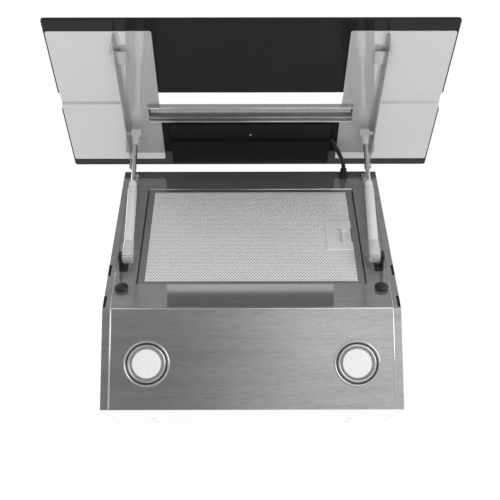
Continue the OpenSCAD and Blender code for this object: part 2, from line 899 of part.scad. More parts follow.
// Depth and height of a spot on the face, and of one on the open door's glass
function face_spot(s, out) = [-light_depth - s * face_cos - out * face_sin, s * face_sin - out * face_cos];
function glass_spot(t, out) = let (y = t - hinge_edge, z = out - hinge_off)
    [hinge_y + y * cos(door_turn) - z * sin(door_turn), hinge_z + y * sin(door_turn) + z * cos(door_turn)];
cable_root = face_spot(face_len - grommet_drop, cable_low);
cable_from = face_spot(face_len - grommet_drop, grommet_h + cable_clear);
cable_to = glass_spot(cable_t, cable_high);
cable_loop = [for (i = [0:len(cable_out_shares) - 1])
    [box_half + (grommet_x - box_half) * cable_across_shares[i],
    cable_from[0] + (cable_to[0] - cable_from[0]) * cable_out_shares[i],
    cable_from[1] + (cable_to[1] - cable_from[1]) * cable_out_shares[i]]];
cable_entry = [for (x = [box_half + cable_lead, box_half - box_wall - seam]) [x, cable_to[0], cable_to[1]]];
cable_route = concat([[grommet_x, cable_root[0], cable_root[1]]], cable_loop, cable_entry);

function unit(v) = v / norm(v);
function along(points, i) = i == 0 ? unit(points[1] - points[0])
    : i == len(points) - 1 ? unit(points[i] - points[i - 1])
    : unit(points[i + 1] - points[i - 1]);
function ring(points, i, r, sides) = let (t = along(points, i), a = unit(cross([1, 0.4, 0.2], t)),
    b = cross(t, a)) [for (k = [0:sides - 1])
        points[i] + r * (cos(k * 360 / sides) * a + sin(k * 360 / sides) * b)];

module swept_tube(points, r, sides) {
    rings = len(points);
    spots = [for (i = [0:rings - 1]) each ring(points, i, r, sides)];
    walls = [for (i = [0:rings - 2], k = [0:sides - 1], half = [0, 1]) half == 0
        ? [i * sides + k, i * sides + (k + 1) % sides, (i + 1) * sides + k]
        : [i * sides + (k + 1) % sides, (i + 1) * sides + (k + 1) % sides, (i + 1) * sides + k]];
    first = [[for (k = [0:sides - 1]) sides - 1 - k]];
    last = [[for (k = [0:sides - 1]) (rings - 1) * sides + k]];
    polyhedron(points = spots, faces = concat(walls, first, last));
}

module control_cable() {
    color("black") lifted() swept_tube(cable_route, cable_r, cable_sides);
}

// Grease filter
module on_filter() {
    on_face() translate([0, filter_start, 0]) children();
}

module filter_frame() {
    half = filter_w / 2 - filter_gap;
    low = filter_gap;
    high = filter_len - filter_gap;
    top = -frame_sink;
    color("darkgray") on_filter() {
        difference() {
            block([-half, low, top - filter_t], [half, high, top]);
            block([-half + filter_border, low + frame_end, top - filter_t - cut],
                [half - filter_border, high - frame_end, top + cut]);
        }
        for (s = tab_places) block([-half - tab_w, s, -sheet_t - seam - frame_skin],
            [-half + cut, s + tab_len, -sheet_t - seam]);
    }
}

module filter_mesh() {
    half = filter_w / 2 - filter_gap - filter_border;
    color("silver") on_filter() difference() {
        block([-half, filter_gap + frame_end, -frame_sink - frame_skin - mesh_t],
            [half, filter_len - filter_gap - frame_end, -frame_sink - frame_skin]);
        block([latch_left, latch_low - filter_start, -filter_t],
            [half + cut, latch_high - filter_start, cut]);
    }
}

module filter_latch_plate() {
    half = filter_w / 2 - filter_gap - filter_border;
    color("silver") on_filter() difference() {
        block([latch_left, latch_low - filter_start, -frame_sink - frame_skin - mesh_t],
            [half, latch_high - filter_start, -frame_sink - frame_skin + latch_plate_t]);
        block([slide_left - latch_travel - seam, slide_low - filter_start - seam, -filter_t],
            [half + cut, slide_high - filter_start + seam, cut]);
    }
}

module filter_latch() {
    low = slide_low - filter_start;
    high = slide_high - filter_start;
    color("darkgray") on_filter() difference() {
        block([slide_left, low, -frame_sink - slide_t], [slide_left + slide_w, high, -frame_sink]);
        block([slide_left + slide_w / 4, low + slide_w / 2, -frame_sink - slide_t / 2],
            [slide_left + slide_w * 3 / 4, high - slide_w / 2, cut]);
    }
}

module latch_spring() {
    half = filter_w / 2 - filter_gap - filter_border;
    mid = (slide_low + slide_high) / 2 - filter_start;
    color("silver") on_filter() translate([0, mid, 0]) {
        block([half - spring_t, -spring_w, -frame_sink - slide_t],
            [half, spring_w, -frame_sink - frame_skin]);
        block([slide_left + slide_w + seam, -spring_t, -frame_sink - slide_t],
            [half, spring_t, -frame_sink - frame_skin]);
    }
}

// Door. Local Y runs from the hinge axis to the free end, local Z towards the body.
module on_glass() {
    on_door() translate([0, -hinge_edge, glass_z]) children();
}

module upper_glass() {
    color("black") on_glass() translate([0, 0, -glass_t])
        round_plate([-door_w / 2, pane_high_start], [door_w / 2, door_len], glass_corner,
            [false, false, true, true], glass_t);
}

module lower_glass() {
    color("black") on_glass() translate([0, 0, -glass_t])
        round_plate([-door_w / 2, 0], [door_w / 2, pane_low_end], glass_corner,
            [true, true, false, false], glass_t);
}

module mirror_plate(side) {
    color("gainsboro") at_side(side) on_glass() difference() {
        union() {
            round_plate([plate_in, plate_start], [plate_out, plate_end], plate_corner,
                [true, true, true, true], plate_t);
            block([plate_in, pane_low_end + seam, -band_depth],
                [plate_out, pane_high_start - seam, plate_t / 2]);
        }
        block([rail_x + seam, channel_start, plate_t - band_depth],
            [plate_out + cut, pane_high_start - seam - plate_t, plate_t + cut]);
    }
}

module rail(side) {
    color("gainsboro") at_side(side) difference() {
        union() {
            on_glass() block([rail_x - rail_t, rail_start, plate_t], [rail_x, rail_end, rail_h]);
            on_glass() block([rail_x - rail_foot, plate_start + rail_foot, plate_t],
                [rail_x, rail_end, plate_t + rail_foot_t]);
            on_door() bar_x(rail_x - rail_t, rail_x, rail_ear_r);
            striker();
        }
        on_door() bar_x(rail_x - rail_t - cut, rail_x + cut, pin_r + fit_gap);
    }
}

module striker() {
    on_glass() translate([0, 0, striker_off])
        round_plate([striker_in, striker_end - striker_len], [striker_out, striker_end], striker_corner,
            [true, false, false, true], striker_t);
}

module cross_brace() {
    rib_at = brace_start + (brace_end - brace_start) * brace_rib_at;
    color("gainsboro") on_glass() translate([0, 0, plate_t]) {
        block([-brace_half, brace_start, 0], [brace_half, brace_end, brace_t]);
        block([-brace_half, brace_end - brace_t, 0], [brace_half, brace_end, brace_fold]);
        block([-brace_half, brace_start, 0], [brace_half, brace_start + brace_t, brace_lip]);
        block([-brace_half, rib_at, 0], [brace_half, rib_at + brace_rib_w, brace_rib_h]);
    }
}

module control_box() {
    color("black") on_glass() difference() {
        union() {
            round_plate([-box_half, box_start], [box_half, box_step], box_corner,
                [true, true, false, false], box_h);
            round_plate([-box_half, box_step], [box_half, box_end], box_corner,
                [false, false, true, true], box_low_h);
        }
        block([-box_half + box_wall, box_start + box_wall, -cut],
            [box_half - box_wall, box_step - box_wall, box_h - box_lid_t]);
        block([-box_half + box_wall, box_step - box_wall - cut, -cut],
            [box_half - box_wall, box_end - box_wall, box_low_h - box_lid_t]);
        translate([0, screw_t, 0]) cylinder(h = box_h, r = screw_r / 2 + fit_gap, $fn = small_fn);
        translate([0, cable_t, cable_high])
            bar_x(box_half - box_wall - cut, box_half + cut, cable_r + cable_hole_gap);
    }
}

module control_board() {
    color("darkgreen") on_glass() difference() {
        block([-box_half + control_board_in, box_start + control_board_in, 0],
            [box_half - control_board_in, box_end - control_board_in, control_board_t]);
        translate([0, screw_t, -cut]) cylinder(h = box_h, r = screw_r / 2 + fit_gap, $fn = small_fn);
    }
}

module control_screw() {
    color("silver") on_glass() translate([0, screw_t, 0]) {
        translate([0, 0, box_low_h]) cylinder(h = screw_h, r = screw_r, $fn = small_fn);
        cylinder(h = box_low_h + screw_h / 2, r = screw_r / 2, $fn = small_fn);
    }
}

// Studs on the rails. Each tip stops just short of the rod end.
module strut_studs() {
    color("silver") pair() on_glass() translate([0, joint_t, joint_off]) {
        bar_x(strut_x + end_half + joint_gap, rail_x - rail_t, stud_r);
        bar_x(rail_x - rail_t - stud_flange_t, rail_x - rail_t, stud_flange_r);
    }
}

// Gas struts, drawn along the line from the lower pivot to the upper joint
module along_strut() {
    on_strut() translate([strut_x, 0, 0]) rotate([-90, 0, 0]) children();
}

module strut_tube(side) {
    color("whitesmoke") at_side(side) along_strut() difference() {
        union() {
            translate([0, 0, tube_start]) cylinder(h = tube_len - cap_len, r = strut_r, $fn = round_fn);
            translate([0, 0, tube_start + tube_floor])
                cylinder(h = tube_len - tube_floor, r = cap_r, $fn = round_fn);
        }
        translate([0, 0, tube_start + tube_floor])
            cylinder(h = tube_len, r = rod_r + rod_bore_gap, $fn = round_fn);
    }
}

module strut_socket(side) {
    color("whitesmoke") at_side(side) difference() {
        union() {
            along_strut() cylinder(h = tube_start, r1 = socket_r, r2 = socket_neck_r, $fn = round_fn);
            on_strut() block([strut_x - socket_r, -socket_tail, -socket_r],
                [strut_x + socket_r, socket_fork, socket_r]);
        }
        on_strut() bar_x(strut_x - socket_r - cut, bracket_in, stud_r + fit_gap);
    }
}

module strut_rod(side) {
    color("silver") at_side(side) along_strut()
        translate([0, 0, tube_start + tube_len - rod_reach])
            cylinder(h = strut_len - end_len - tube_start - tube_len + rod_reach, r = rod_r, $fn = round_fn);
}

module rod_end(side) {
    color("gainsboro") at_side(side) union() {
        along_strut() translate([0, 0, strut_len - end_len])
            cylinder(h = end_len - end_r / 2, r1 = end_neck_r, r2 = end_r - seam, $fn = round_fn);
        on_strut() translate([0, strut_len, 0]) bar_x(strut_x - end_half, strut_x + end_half, end_r);
    }
}

front_panel();
side_panel(-1);  // left_side_panel
side_panel(1);  // right_side_panel
back_panel();
top_panel();
mounting_plate();
duct_collar();
collar_screws();
damper_pin();
damper_flap(-1, knuckle_front);  // front_damper_flap
damper_flap(1, knuckle_rear);  // rear_damper_flap
scroll_housing();
blower_screws();
impeller();
motor();
motor_shaft();
motor_bracket();
terminal_box();
cable_gland();
lamp_driver();
lamp_bezels();
lamp_lenses();
lamp_bodies();
led_boards();
hinge_bracket(-1);  // left_hinge_bracket
hinge_bracket(1);  // right_hinge_bracket
hinge_pins();
hinge_bolts();
strut_bracket(-1);  // left_strut_bracket
strut_bracket(1);  // right_strut_bracket
strut_pins();
strut_bracket_screws();
bumpers();
cable_grommet();
control_cable();
filter_frame();
filter_mesh();
filter_latch_plate();
filter_latch();
latch_spring();
upper_glass();
lower_glass();
mirror_plate(-1);  // left_mirror_plate
mirror_plate(1);  // right_mirror_plate
rail(-1);  // left_rail
rail(1);  // right_rail
cross_brace();
control_box();
control_board();
control_screw();
strut_studs();
strut_tube(-1);  // left_strut_tube
strut_tube(1);  // right_strut_tube
strut_socket(-1);  // left_strut_socket
strut_socket(1);  // right_strut_socket
strut_rod(-1);  // left_strut_rod
strut_rod(1);  // right_strut_rod
rod_end(-1);  // left_rod_end
rod_end(1);  // right_rod_end
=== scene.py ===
# %% [markdown]
# # Angled range hood
# A wedge of brushed steel hangs on a wall. Its lower face is level and carries two lamps, its front
# face leans forward and carries a grease filter, and a black glass door in two panes is held open by
# two gas struts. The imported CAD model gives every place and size, so each piece made here lies where
# the solid lies, in metres. Most pieces are copies of the solids with true rounded edges, and the
# ones that show finer shapes, such as the filter's perforations, are made new.

# %% Start
import json
import math

import bmesh
import bpy
from mathutils import Matrix, Vector

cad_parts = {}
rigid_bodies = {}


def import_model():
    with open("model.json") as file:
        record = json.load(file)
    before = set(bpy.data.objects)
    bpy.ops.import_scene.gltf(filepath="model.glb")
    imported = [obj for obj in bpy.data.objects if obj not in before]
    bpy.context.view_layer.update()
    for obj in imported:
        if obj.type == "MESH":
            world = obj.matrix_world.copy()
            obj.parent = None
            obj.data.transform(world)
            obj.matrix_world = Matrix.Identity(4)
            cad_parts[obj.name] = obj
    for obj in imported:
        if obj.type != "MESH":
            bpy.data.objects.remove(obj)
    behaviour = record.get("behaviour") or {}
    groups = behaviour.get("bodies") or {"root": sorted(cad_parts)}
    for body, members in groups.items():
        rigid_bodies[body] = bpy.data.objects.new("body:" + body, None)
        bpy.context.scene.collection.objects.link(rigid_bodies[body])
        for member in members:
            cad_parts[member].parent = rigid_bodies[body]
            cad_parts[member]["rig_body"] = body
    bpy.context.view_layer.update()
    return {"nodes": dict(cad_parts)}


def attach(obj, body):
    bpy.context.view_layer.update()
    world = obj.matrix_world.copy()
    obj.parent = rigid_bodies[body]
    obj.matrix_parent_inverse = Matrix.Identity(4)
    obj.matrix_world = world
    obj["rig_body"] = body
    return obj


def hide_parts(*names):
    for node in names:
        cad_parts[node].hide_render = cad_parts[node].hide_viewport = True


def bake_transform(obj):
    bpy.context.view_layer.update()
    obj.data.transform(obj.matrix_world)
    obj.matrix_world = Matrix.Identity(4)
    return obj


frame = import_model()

MM = 0.001

# %% [markdown]
# A few steps come back all through the script: objects, meshes and materials are begun, rings of
# corners are joined into faces, and nodes are made, with each input linked or given its number.

# %% Helpers
def put(thing, **settings):
    """Set these settings of a thing, and give the thing back."""
    for name, value in settings.items():
        setattr(thing, name, value)
    return thing


def raw_object(name, data):
    """A new object in the scene, at the origin."""
    obj = bpy.data.objects.new(name, data)
    bpy.context.scene.collection.objects.link(obj)
    return obj


def new_mesh(name, verts, faces):
    mesh = bpy.data.meshes.new(name)
    mesh.from_pydata(verts, [], faces)
    return mesh


def mesh_object(name, verts, faces):
    return raw_object(name, new_mesh(name, verts, faces))


def smoothed(mesh, angle):
    """The mesh with smooth faces, and with sharp edges where it folds by more than this angle."""
    for face in mesh.polygons:
        face.use_smooth = True
    mesh.set_sharp_from_angle(angle=math.radians(angle))
    return mesh


def turns(steps):
    """The angles of one full turn in even steps."""
    return [2 * math.pi * i / steps for i in range(steps)]


def ring_faces(rings, steps):
    """Faces between rings of corners, each above the last, and one face on either end."""
    faces = []
    for k in range(0, (rings - 1) * steps, steps):
        for i in range(steps):
            j = (i + 1) % steps
            faces.append([k + i, k + j, k + steps + j, k + steps + i])
    return faces + [list(range(steps))[::-1], [(rings - 1) * steps + i for i in range(steps)]]


def new_material(name):
    """A new material, its tree and its Principled shader."""
    material = bpy.data.materials.new(name)
    material.use_nodes = True
    return material, material.node_tree, material.node_tree.nodes["Principled BSDF"]


def feed(node, inputs):
    """Link each named input to a socket or to a node's first output, or set it to a value."""
    for name, value in inputs.items():
        if isinstance(value, bpy.types.Node):
            value = value.outputs[0]
        if isinstance(value, bpy.types.NodeSocket):
            node.id_data.links.new(value, node.inputs[name])
        else:
            node.inputs[name].default_value = value


def add(tree, kind, inputs=None, **settings):
    """A new ShaderNode or GeometryNode of this kind, with these inputs and settings."""
    node = put(tree.nodes.new(tree.bl_idname.removesuffix("Tree") + kind), **settings)
    feed(node, inputs or {})
    return node


def calc(tree, kind, a, b):
    """This operation on two values, each a number, a socket or a node."""
    return add(tree, "Math", {0: a, 1: b}, operation=kind)


def ramp(tree, value, low, high, to_low, to_high):
    """A smooth step from one value to another, as the given value goes from low to high."""
    return add(tree, "MapRange", {
        "Value": value, "From Min": low, "From Max": high, "To Min": to_low, "To Max": to_high},
        interpolation_type="SMOOTHSTEP")


def object_spot(tree):
    return add(tree, "TexCoord").outputs["Object"]


def new_tree(name, kind, inputs, outputs):
    """An empty group of nodes with sockets of {name: kind}, what enters it and where it ends."""
    tree = bpy.data.node_groups.new(name, kind)
    for way, sockets in (("INPUT", inputs), ("OUTPUT", outputs)):
        for socket, socket_kind in sockets.items():
            tree.interface.new_socket(socket, in_out=way, socket_type=socket_kind)
    return tree, tree.nodes.new("NodeGroupInput").outputs, tree.nodes.new("NodeGroupOutput")


FLOAT, VECTOR = "NodeSocketFloat", "NodeSocketVector"
GEOMETRY, MATERIAL, PIECE = "NodeSocketGeometry", "NodeSocketMaterial", "NodeSocketObject"
print("helpers ready")

# %% [markdown]
# The photograph looks up at the hood from below, a little behind its middle. The camera's place and
# lens were worked out from the corners of the body, the door and the filter, so the picture's
# perspective is kept.

# %% Camera
CAMERA_AT = Vector((-0.010784, 0.132149, -1.871597))
CAMERA_RIGHT = Vector((0.99999, 0.00313, -0.00441))
CAMERA_UP = Vector((0.00213, -0.97756, -0.21069))
CAMERA_FORWARD = Vector((0.00497, -0.21068, 0.97755))
CAMERA_LENS, SENSOR = 85.753, 36.0
NEAREST, FARTHEST = 0.05, 60.0

camera = raw_object("camera", put(
    bpy.data.cameras.new("camera"), lens=CAMERA_LENS, sensor_width=SENSOR, clip_start=NEAREST,
    clip_end=FARTHEST))
turn = Matrix((CAMERA_RIGHT, CAMERA_UP, -CAMERA_FORWARD)).transposed().to_4x4()
camera.matrix_world = Matrix.Translation(CAMERA_AT) @ turn
bpy.context.scene.camera = camera
print("camera", [round(v, 3) for v in camera.location])

# %% [markdown]
# The solids were drawn in a few tilted frames: one lies on the leaning face, one on the door's glass
# and one runs along each strut. Building the new pieces in those frames, in millimetres, keeps the
# numbers plain. Each frame is a matrix that turns, moves and scales a local place to its real one.

# %% Frames of reference
FACE_TILT, DOOR_OPEN = 44.7, 59.8
FACE_TURN, DOOR_TURN = 180 - FACE_TILT, -(FACE_TILT + DOOR_OPEN)
LIGHT_DEPTH, FACE_LEN, MOUNT_HEIGHT = 143.4, 395.0, 200.0
HINGE_DROP, HINGE_OUT, HINGE_EDGE, HINGE_OFF = 9.5, 16.6, 29.5, 20.3
STRUT_S, STRUT_OUT, STRUT_X = 107.0, 18.0, 183.7
JOINT_T, JOINT_OFF = 127.0, 17.0


def tilted(y, z, turn_deg):
    """A frame in millimetres, at depth y and height z over the lamp face, turned about X."""
    at = Matrix.Translation((0, y * MM, (z - MOUNT_HEIGHT) * MM))
    return at @ Matrix.Rotation(math.radians(turn_deg), 4, "X") @ Matrix.Scale(MM, 4)


def off_face(s, out):
    """Depth and height of a spot s up the leaning face and out from it."""
    c, n = math.cos(math.radians(FACE_TILT)), math.sin(math.radians(FACE_TILT))
    return -LIGHT_DEPTH - s * c - out * n, s * n - out * c


LIFTED = tilted(0, 0, 0)
FACE = tilted(-LIGHT_DEPTH, 0, FACE_TURN)
DOOR = tilted(*off_face(FACE_LEN - HINGE_DROP, HINGE_OUT), DOOR_TURN)
GLASS = DOOR @ Matrix.Translation((0, -HINGE_EDGE, -HINGE_OFF))
strut_low = Vector((0, *off_face(STRUT_S, STRUT_OUT)))
strut_high = GLASS @ Vector((0, JOINT_T, JOINT_OFF)) / MM + Vector((0, 0, MOUNT_HEIGHT))
strut_span = strut_high - strut_low
STRUT_LEN = strut_span.length
STRUT = tilted(strut_low.y, strut_low.z, math.degrees(math.atan2(strut_span.z, strut_span.y)))
print("strut length", round(STRUT_LEN, 2))

# %% [markdown]
# The light of the photograph is even and white, from all round, as in a white tent. A world that
# sends a softer grey to matt surfaces and plain white to mirrors and to the camera does that, with
# two soft lamps for shape and one that only matt faces take up. The pale floor lies far below.

# %% World, lamps and floor
WHITE, BLACK = (1, 1, 1, 1), (0, 0, 0, 1)
WORLD_DIFFUSE = 0.62
FLOOR_Z, FLOOR_HALF, FLOOR_GREY, FLOOR_ROUGH = -2.35, 15.0, (0.8, 0.8, 0.8, 1), 0.9
OBJECT_MIDDLE = Vector((0, -0.3, -0.1))
LAMPS = [  # name, place, size, watts, and whether mirrors see it
    ("lamp_below", (1.6, -1.2, -2.0), 1.8, 26, True),
    ("lamp_above", (-1.2, -1.6, 2.2), 2.0, 30, True),
    ("lamp_for_matt_faces", (0, 0.1, -2.2), 1.4, 16, False)]


def white_rays(tree):
    """One where a ray comes from the camera, a mirror or glass, and nought elsewhere."""
    rays = add(tree, "LightPath").outputs
    seen = calc(tree, "MAXIMUM", rays["Is Camera Ray"], rays["Is Glossy Ray"])
    return calc(tree, "MAXIMUM", seen, rays["Is Transmission Ray"])


def level_square(name, half, z, paint):
    corners = [(-half, -half, z), (half, -half, z), (half, half, z), (-half, half, z)]
    square = mesh_object(name, corners, [(0, 1, 2, 3)])
    square.data.materials.append(paint)
    return square


world = bpy.data.worlds.new("white_tent")
bpy.context.scene.world = world
world.use_nodes = True
tree = world.node_tree
brightness = add(tree, "MapRange", {
    "Value": white_rays(tree), "To Min": WORLD_DIFFUSE, "To Max": 1.0})
feed(tree.nodes["Background"], {"Color": WHITE, "Strength": brightness})
bpy.context.scene.view_settings.view_transform = "Standard"

for name, at, size, watts, mirrored in LAMPS:
    data = put(bpy.data.lights.new(name, "AREA"), shape="SQUARE", size=size, energy=watts)
    put(raw_object(name, data), location=at, rotation_mode="QUATERNION",
        rotation_quaternion=(OBJECT_MIDDLE - Vector(at)).to_track_quat("-Z", "Y"),
        visible_glossy=mirrored, visible_camera=False)

floor_paint, tree, shader = new_material("floor_pale")
feed(shader, {"Base Color": FLOOR_GREY, "Roughness": FLOOR_ROUGH})
floor = level_square("floor", FLOOR_HALF, FLOOR_Z, floor_paint)
print("world, floor and lamps", len(LAMPS))

# %% [markdown]
# The level lamp face mirrors what lies under the hood. In the photograph it goes from dark at the left
# to bright at the right, as over a white board that is lit from one side. So a board lies there whose
# glow rises smoothly along the width and falls to half towards the wall. Only reflections show it.

# %% Lit board
BOARD_Z, BOARD_HALF = -2.3, 1.6
GLOW_DARK, GLOW_BRIGHT = 0.28, 1.25
GLOW_FROM, GLOW_TO = -0.28, 0.38
FAR_FROM, FAR_TO, NEAR_SHARE = -0.5, -0.1, 0.52

board_paint, tree, shader = new_material("board_glow")
spot = add(tree, "SeparateXYZ", {0: object_spot(tree)}).outputs
glow = calc(tree, "MULTIPLY", ramp(tree, spot[0], GLOW_FROM, GLOW_TO, GLOW_DARK, GLOW_BRIGHT),
            ramp(tree, spot[1], FAR_FROM, FAR_TO, 1.0, NEAR_SHARE))
feed(shader, {"Base Color": BLACK, "Emission Color": WHITE, "Emission Strength": glow})
board = level_square("lit_board", BOARD_HALF, BOARD_Z, board_paint)
put(board, visible_camera=False, visible_diffuse=False, visible_shadow=False)
print("lit board", board.name)

# %% [markdown]
# Brushed sheet shows fine lines along one direction, a little light and a little dark, and the lines
# are also shallow grooves. A noise that is stretched a long way along the brushing gives both, so one
# group makes them for each steel, with its own direction and strength. A second group gives moulded
# and painted surfaces their fine grain, and a third the faint film that handling leaves on gloss.

# %% Shader groups
FINE_SHARE, FINE_ROUGH, BROAD_SCALE = 0.65, 0.65, 0.13
PORE_SCALE, CLOUD_SCALE, WIPE_SCALE, WIPE_ROUGH = 1800.0, 14.0, 9.0, 0.6
WIPE_LOW, WIPE_HIGH = 0.35, 0.75
RELIEF = {"Shade": FLOAT, "Height": FLOAT}


def noise(tree, vector, scale, detail, roughness=0.5):
    return add(tree, "TexNoise", {
        "Vector": vector, "Scale": scale, "Detail": detail, "Roughness": roughness}).outputs["Fac"]


def shade_of(tree, value, depth):
    """A shade that swings about one, as the value swings about a half."""
    swing = calc(tree, "MULTIPLY", calc(tree, "SUBTRACT", value, 0.5), depth)
    return calc(tree, "ADD", swing, 1.0)


brushing, enter, leave = new_tree(
    "brushed_lines", "ShaderNodeTree", {"Coordinate": VECTOR, "Stretch": VECTOR, "Depth": FLOAT}, RELIEF)
stretched = add(brushing, "VectorMath", {0: enter["Coordinate"], 1: enter["Stretch"]},
                operation="MULTIPLY")
fine = noise(brushing, stretched, 1.0, 3.0, FINE_ROUGH)
broad = noise(brushing, stretched, BROAD_SCALE, 2.0)
lines = calc(brushing, "ADD", calc(brushing, "MULTIPLY", fine, FINE_SHARE),
             calc(brushing, "MULTIPLY", broad, 1 - FINE_SHARE))
feed(leave, {"Shade": shade_of(brushing, lines, enter["Depth"]), "Height": lines})

grain, enter, leave = new_tree(
    "moulded_grain", "ShaderNodeTree", {"Coordinate": VECTOR, "Depth": FLOAT}, RELIEF)
pores = noise(grain, enter["Coordinate"], PORE_SCALE, 2.0)
cloud = noise(grain, enter["Coordinate"], CLOUD_SCALE, 3.0)
feed(leave, {"Shade": shade_of(grain, cloud, enter["Depth"]), "Height": pores})

film, enter, leave = new_tree(
    "handling_film", "ShaderNodeTree", {"Coordinate": VECTOR, "Low": FLOAT, "High": FLOAT},
    {"Roughness": FLOAT})
wipes = noise(film, enter["Coordinate"], WIPE_SCALE, 5.0, WIPE_ROUGH)
feed(leave, {"Roughness": add(film, "MapRange", {
    "Value": wipes, "From Min": WIPE_LOW, "From Max": WIPE_HIGH,
    "To Min": enter["Low"], "To Max": enter["High"]})})
print("groups", brushing.name, grain.name, film.name)

# %% [markdown]
# Each finish is one Principled shader. The base colour is the finish's own, times the shade of its
# lines or grain, the roughness wanders a little with the film, and the grooves or pores feed a bump.
# Brushed sheet also spreads its highlights across the lines, which the shader's anisotropy does. The
# front sheet's leaning part is smoother, less metallic and darker than its level part, as the photograph
# shows; its darker colour there is painted shade.

# %% Finishes
FINISHES = {}
GROOVE_DEPTH, QUARTER_TURN = 0.0004, 0.25


def place_group(tree, group, spot, **values):
    return add(tree, "Group", {"Coordinate": spot, **values}, node_tree=group).outputs


def finish(name, colour, metal, rough, shade, bump, stretch=None, spread=0.0, smoother_with_painted_shade=None, **sockets):
    """A Principled finish with brushed lines where stretch is given, and moulded grain elsewhere."""
    material, tree, shader = new_material(name)
    spot = object_spot(tree)
    if stretch:
        detail = place_group(tree, brushing, spot, Stretch=stretch, Depth=shade)
    else:
        detail = place_group(tree, grain, spot, Depth=shade)
    roughness = place_group(tree, film, spot, Low=rough[0], High=rough[1])["Roughness"]
    tone = detail["Shade"]
    # Above this height the finish is smoother and less metallic, and its colour is darkened as painted shade.
    if smoother_with_painted_shade:
        height, *shares = smoother_with_painted_shade
        z = add(tree, "SeparateXYZ", {0: spot}).outputs["Z"]
        above = calc(tree, "GREATER_THAN", z, height)
        roughness, tone, metal = [
            calc(tree, "MULTIPLY", value, calc(
                tree, "SUBTRACT", 1.0, calc(tree, "MULTIPLY", above, 1.0 - share)))
            for value, share in zip((roughness, tone, metal), shares)]
    tinted = add(tree, "VectorMath", {0: colour, "Scale": tone}, operation="SCALE")
    relief = add(tree, "Bump", {
        "Strength": bump, "Distance": GROOVE_DEPTH, "Height": detail["Height"]})
    feed(shader, {"Base Color": tinted, "Roughness": roughness, "Metallic": metal, "Normal": relief,
                  **sockets})
    if spread:
        along = add(tree, "CombineXYZ", {0: 1.0})
        feed(shader, {"Tangent": along, "Anisotropic": spread, "Anisotropic Rotation": QUARTER_TURN})
    FINISHES[name] = material
    return material


ACROSS, UPRIGHT = (3.0, 1100.0, 1100.0), (1100.0, 1100.0, 3.0)
BRUSHED, ROUND_MOTOR = (60.0, 560.0, 560.0), (2.0, 700.0, 700.0)
FOLD_Z, FACE_ROUGH, FACE_PAINTED_SHADE, FACE_METAL = -0.197, 0.2, 0.78, 0.75
for row in [  # name, colour, metal, roughness (low, high), shade, bump, brushing, spread, smoother
    # panel_steel's last column: the fold's height, then the leaning face's shares of roughness, of painted
    # shade in its colour, and of metal
    ("panel_steel", (0.45, 0.45, 0.453), 0.9, (0.2, 0.25), 1.0, 0.012, BRUSHED, 1.0,
     (FOLD_Z, FACE_ROUGH, FACE_PAINTED_SHADE, FACE_METAL)),
    # The next finish is far lighter than the sheet steel, a painted highlight for the seam and fold beads.
    ("bead_steel", (0.86, 0.86, 0.863), 1.0, (0.12, 0.2), 0.04, 0.01),
    ("zinc_steel", (0.52, 0.53, 0.54), 1.0, (0.3, 0.5), 0.3, 0.06),
    ("back_zinc", (0.93, 0.932, 0.935), 1.0, (0.08, 0.14), 0.03, 0.01),
    ("screw_steel", (0.66, 0.66, 0.66), 1.0, (0.14, 0.24), 0.1, 0.02),
    ("bezel_steel", (0.66, 0.66, 0.663), 0.9, (0.08, 0.14), 0.06, 0.01),
    ("mirror_steel", (0.735, 0.735, 0.738), 0.3, (0.012, 0.03), 0.02, 0.0),
    ("brace_steel", (0.44, 0.44, 0.443), 0.95, (0.1, 0.16), 0.04, 0.0),
    ("rail_steel", (0.6, 0.6, 0.603), 0.45, (0.12, 0.2), 0.08, 0.03, ACROSS),
    ("black_plastic", (0.03, 0.03, 0.031), 0.0, (0.4, 0.55), 0.2, 0.1),
    ("box_plastic", (0.006, 0.006, 0.0062), 0.0, (0.3, 0.42), 0.15, 0.04),
    ("grey_plastic", (0.3, 0.3, 0.31), 0.0, (0.4, 0.5), 0.15, 0.08),
    ("circuit_board", (0.05, 0.2, 0.1), 0.0, (0.3, 0.4), 0.3, 0.05),
    ("led_board", (0.85, 0.84, 0.78), 0.0, (0.3, 0.4), 0.05, 0.02),
    ("lamp_aluminium", (0.6, 0.6, 0.61), 1.0, (0.3, 0.4), 0.1, 0.05),
    ("motor_steel", (0.35, 0.36, 0.37), 1.0, (0.3, 0.45), 0.15, 0.04, ROUND_MOTOR),
    ("black_metal", (0.014, 0.014, 0.015), 0.0, (0.28, 0.38), 0.2, 0.05),
    ("blackened_steel", (0.12, 0.12, 0.121), 1.0, (0.2, 0.3), 0.15, 0.03),
    ("strut_paint", (0.66, 0.66, 0.665), 0.0, (0.36, 0.46), 0.04, 0.01),
    ("strut_plastic", (0.52, 0.52, 0.522), 0.0, (0.3, 0.4), 0.08, 0.04),
    ("rod_chrome", (0.7, 0.7, 0.7), 1.0, (0.08, 0.14), 0.05, 0.01),
    ("rubber", (0.012, 0.012, 0.012), 0.0, (0.35, 0.5), 0.2, 0.08),
    ("cable_sheath", (0.012, 0.012, 0.012), 0.0, (0.4, 0.5), 0.2, 0.05),
    ("filter_frame_steel", (0.34, 0.34, 0.342), 0.8, (0.3, 0.4), 0.3, 0.08, UPRIGHT),
    ("filter_aluminium", (0.93, 0.93, 0.932), 0.2, (0.4, 0.5), 0.06, 0.03),
    ("rolled_steel", (0.8, 0.8, 0.803), 0.1, (0.3, 0.4), 0.06, 0.03),
    ("latch_aluminium", (0.78, 0.78, 0.782), 0.2, (0.35, 0.45), 0.06, 0.03),
    ("latch_metal", (0.78, 0.78, 0.782), 0.2, (0.32, 0.4), 0.08, 0.03),
    ("wadding", (0.15, 0.15, 0.15), 0.4, (0.5, 0.6), 0.6, 0.4),
]:
    finish(*row)
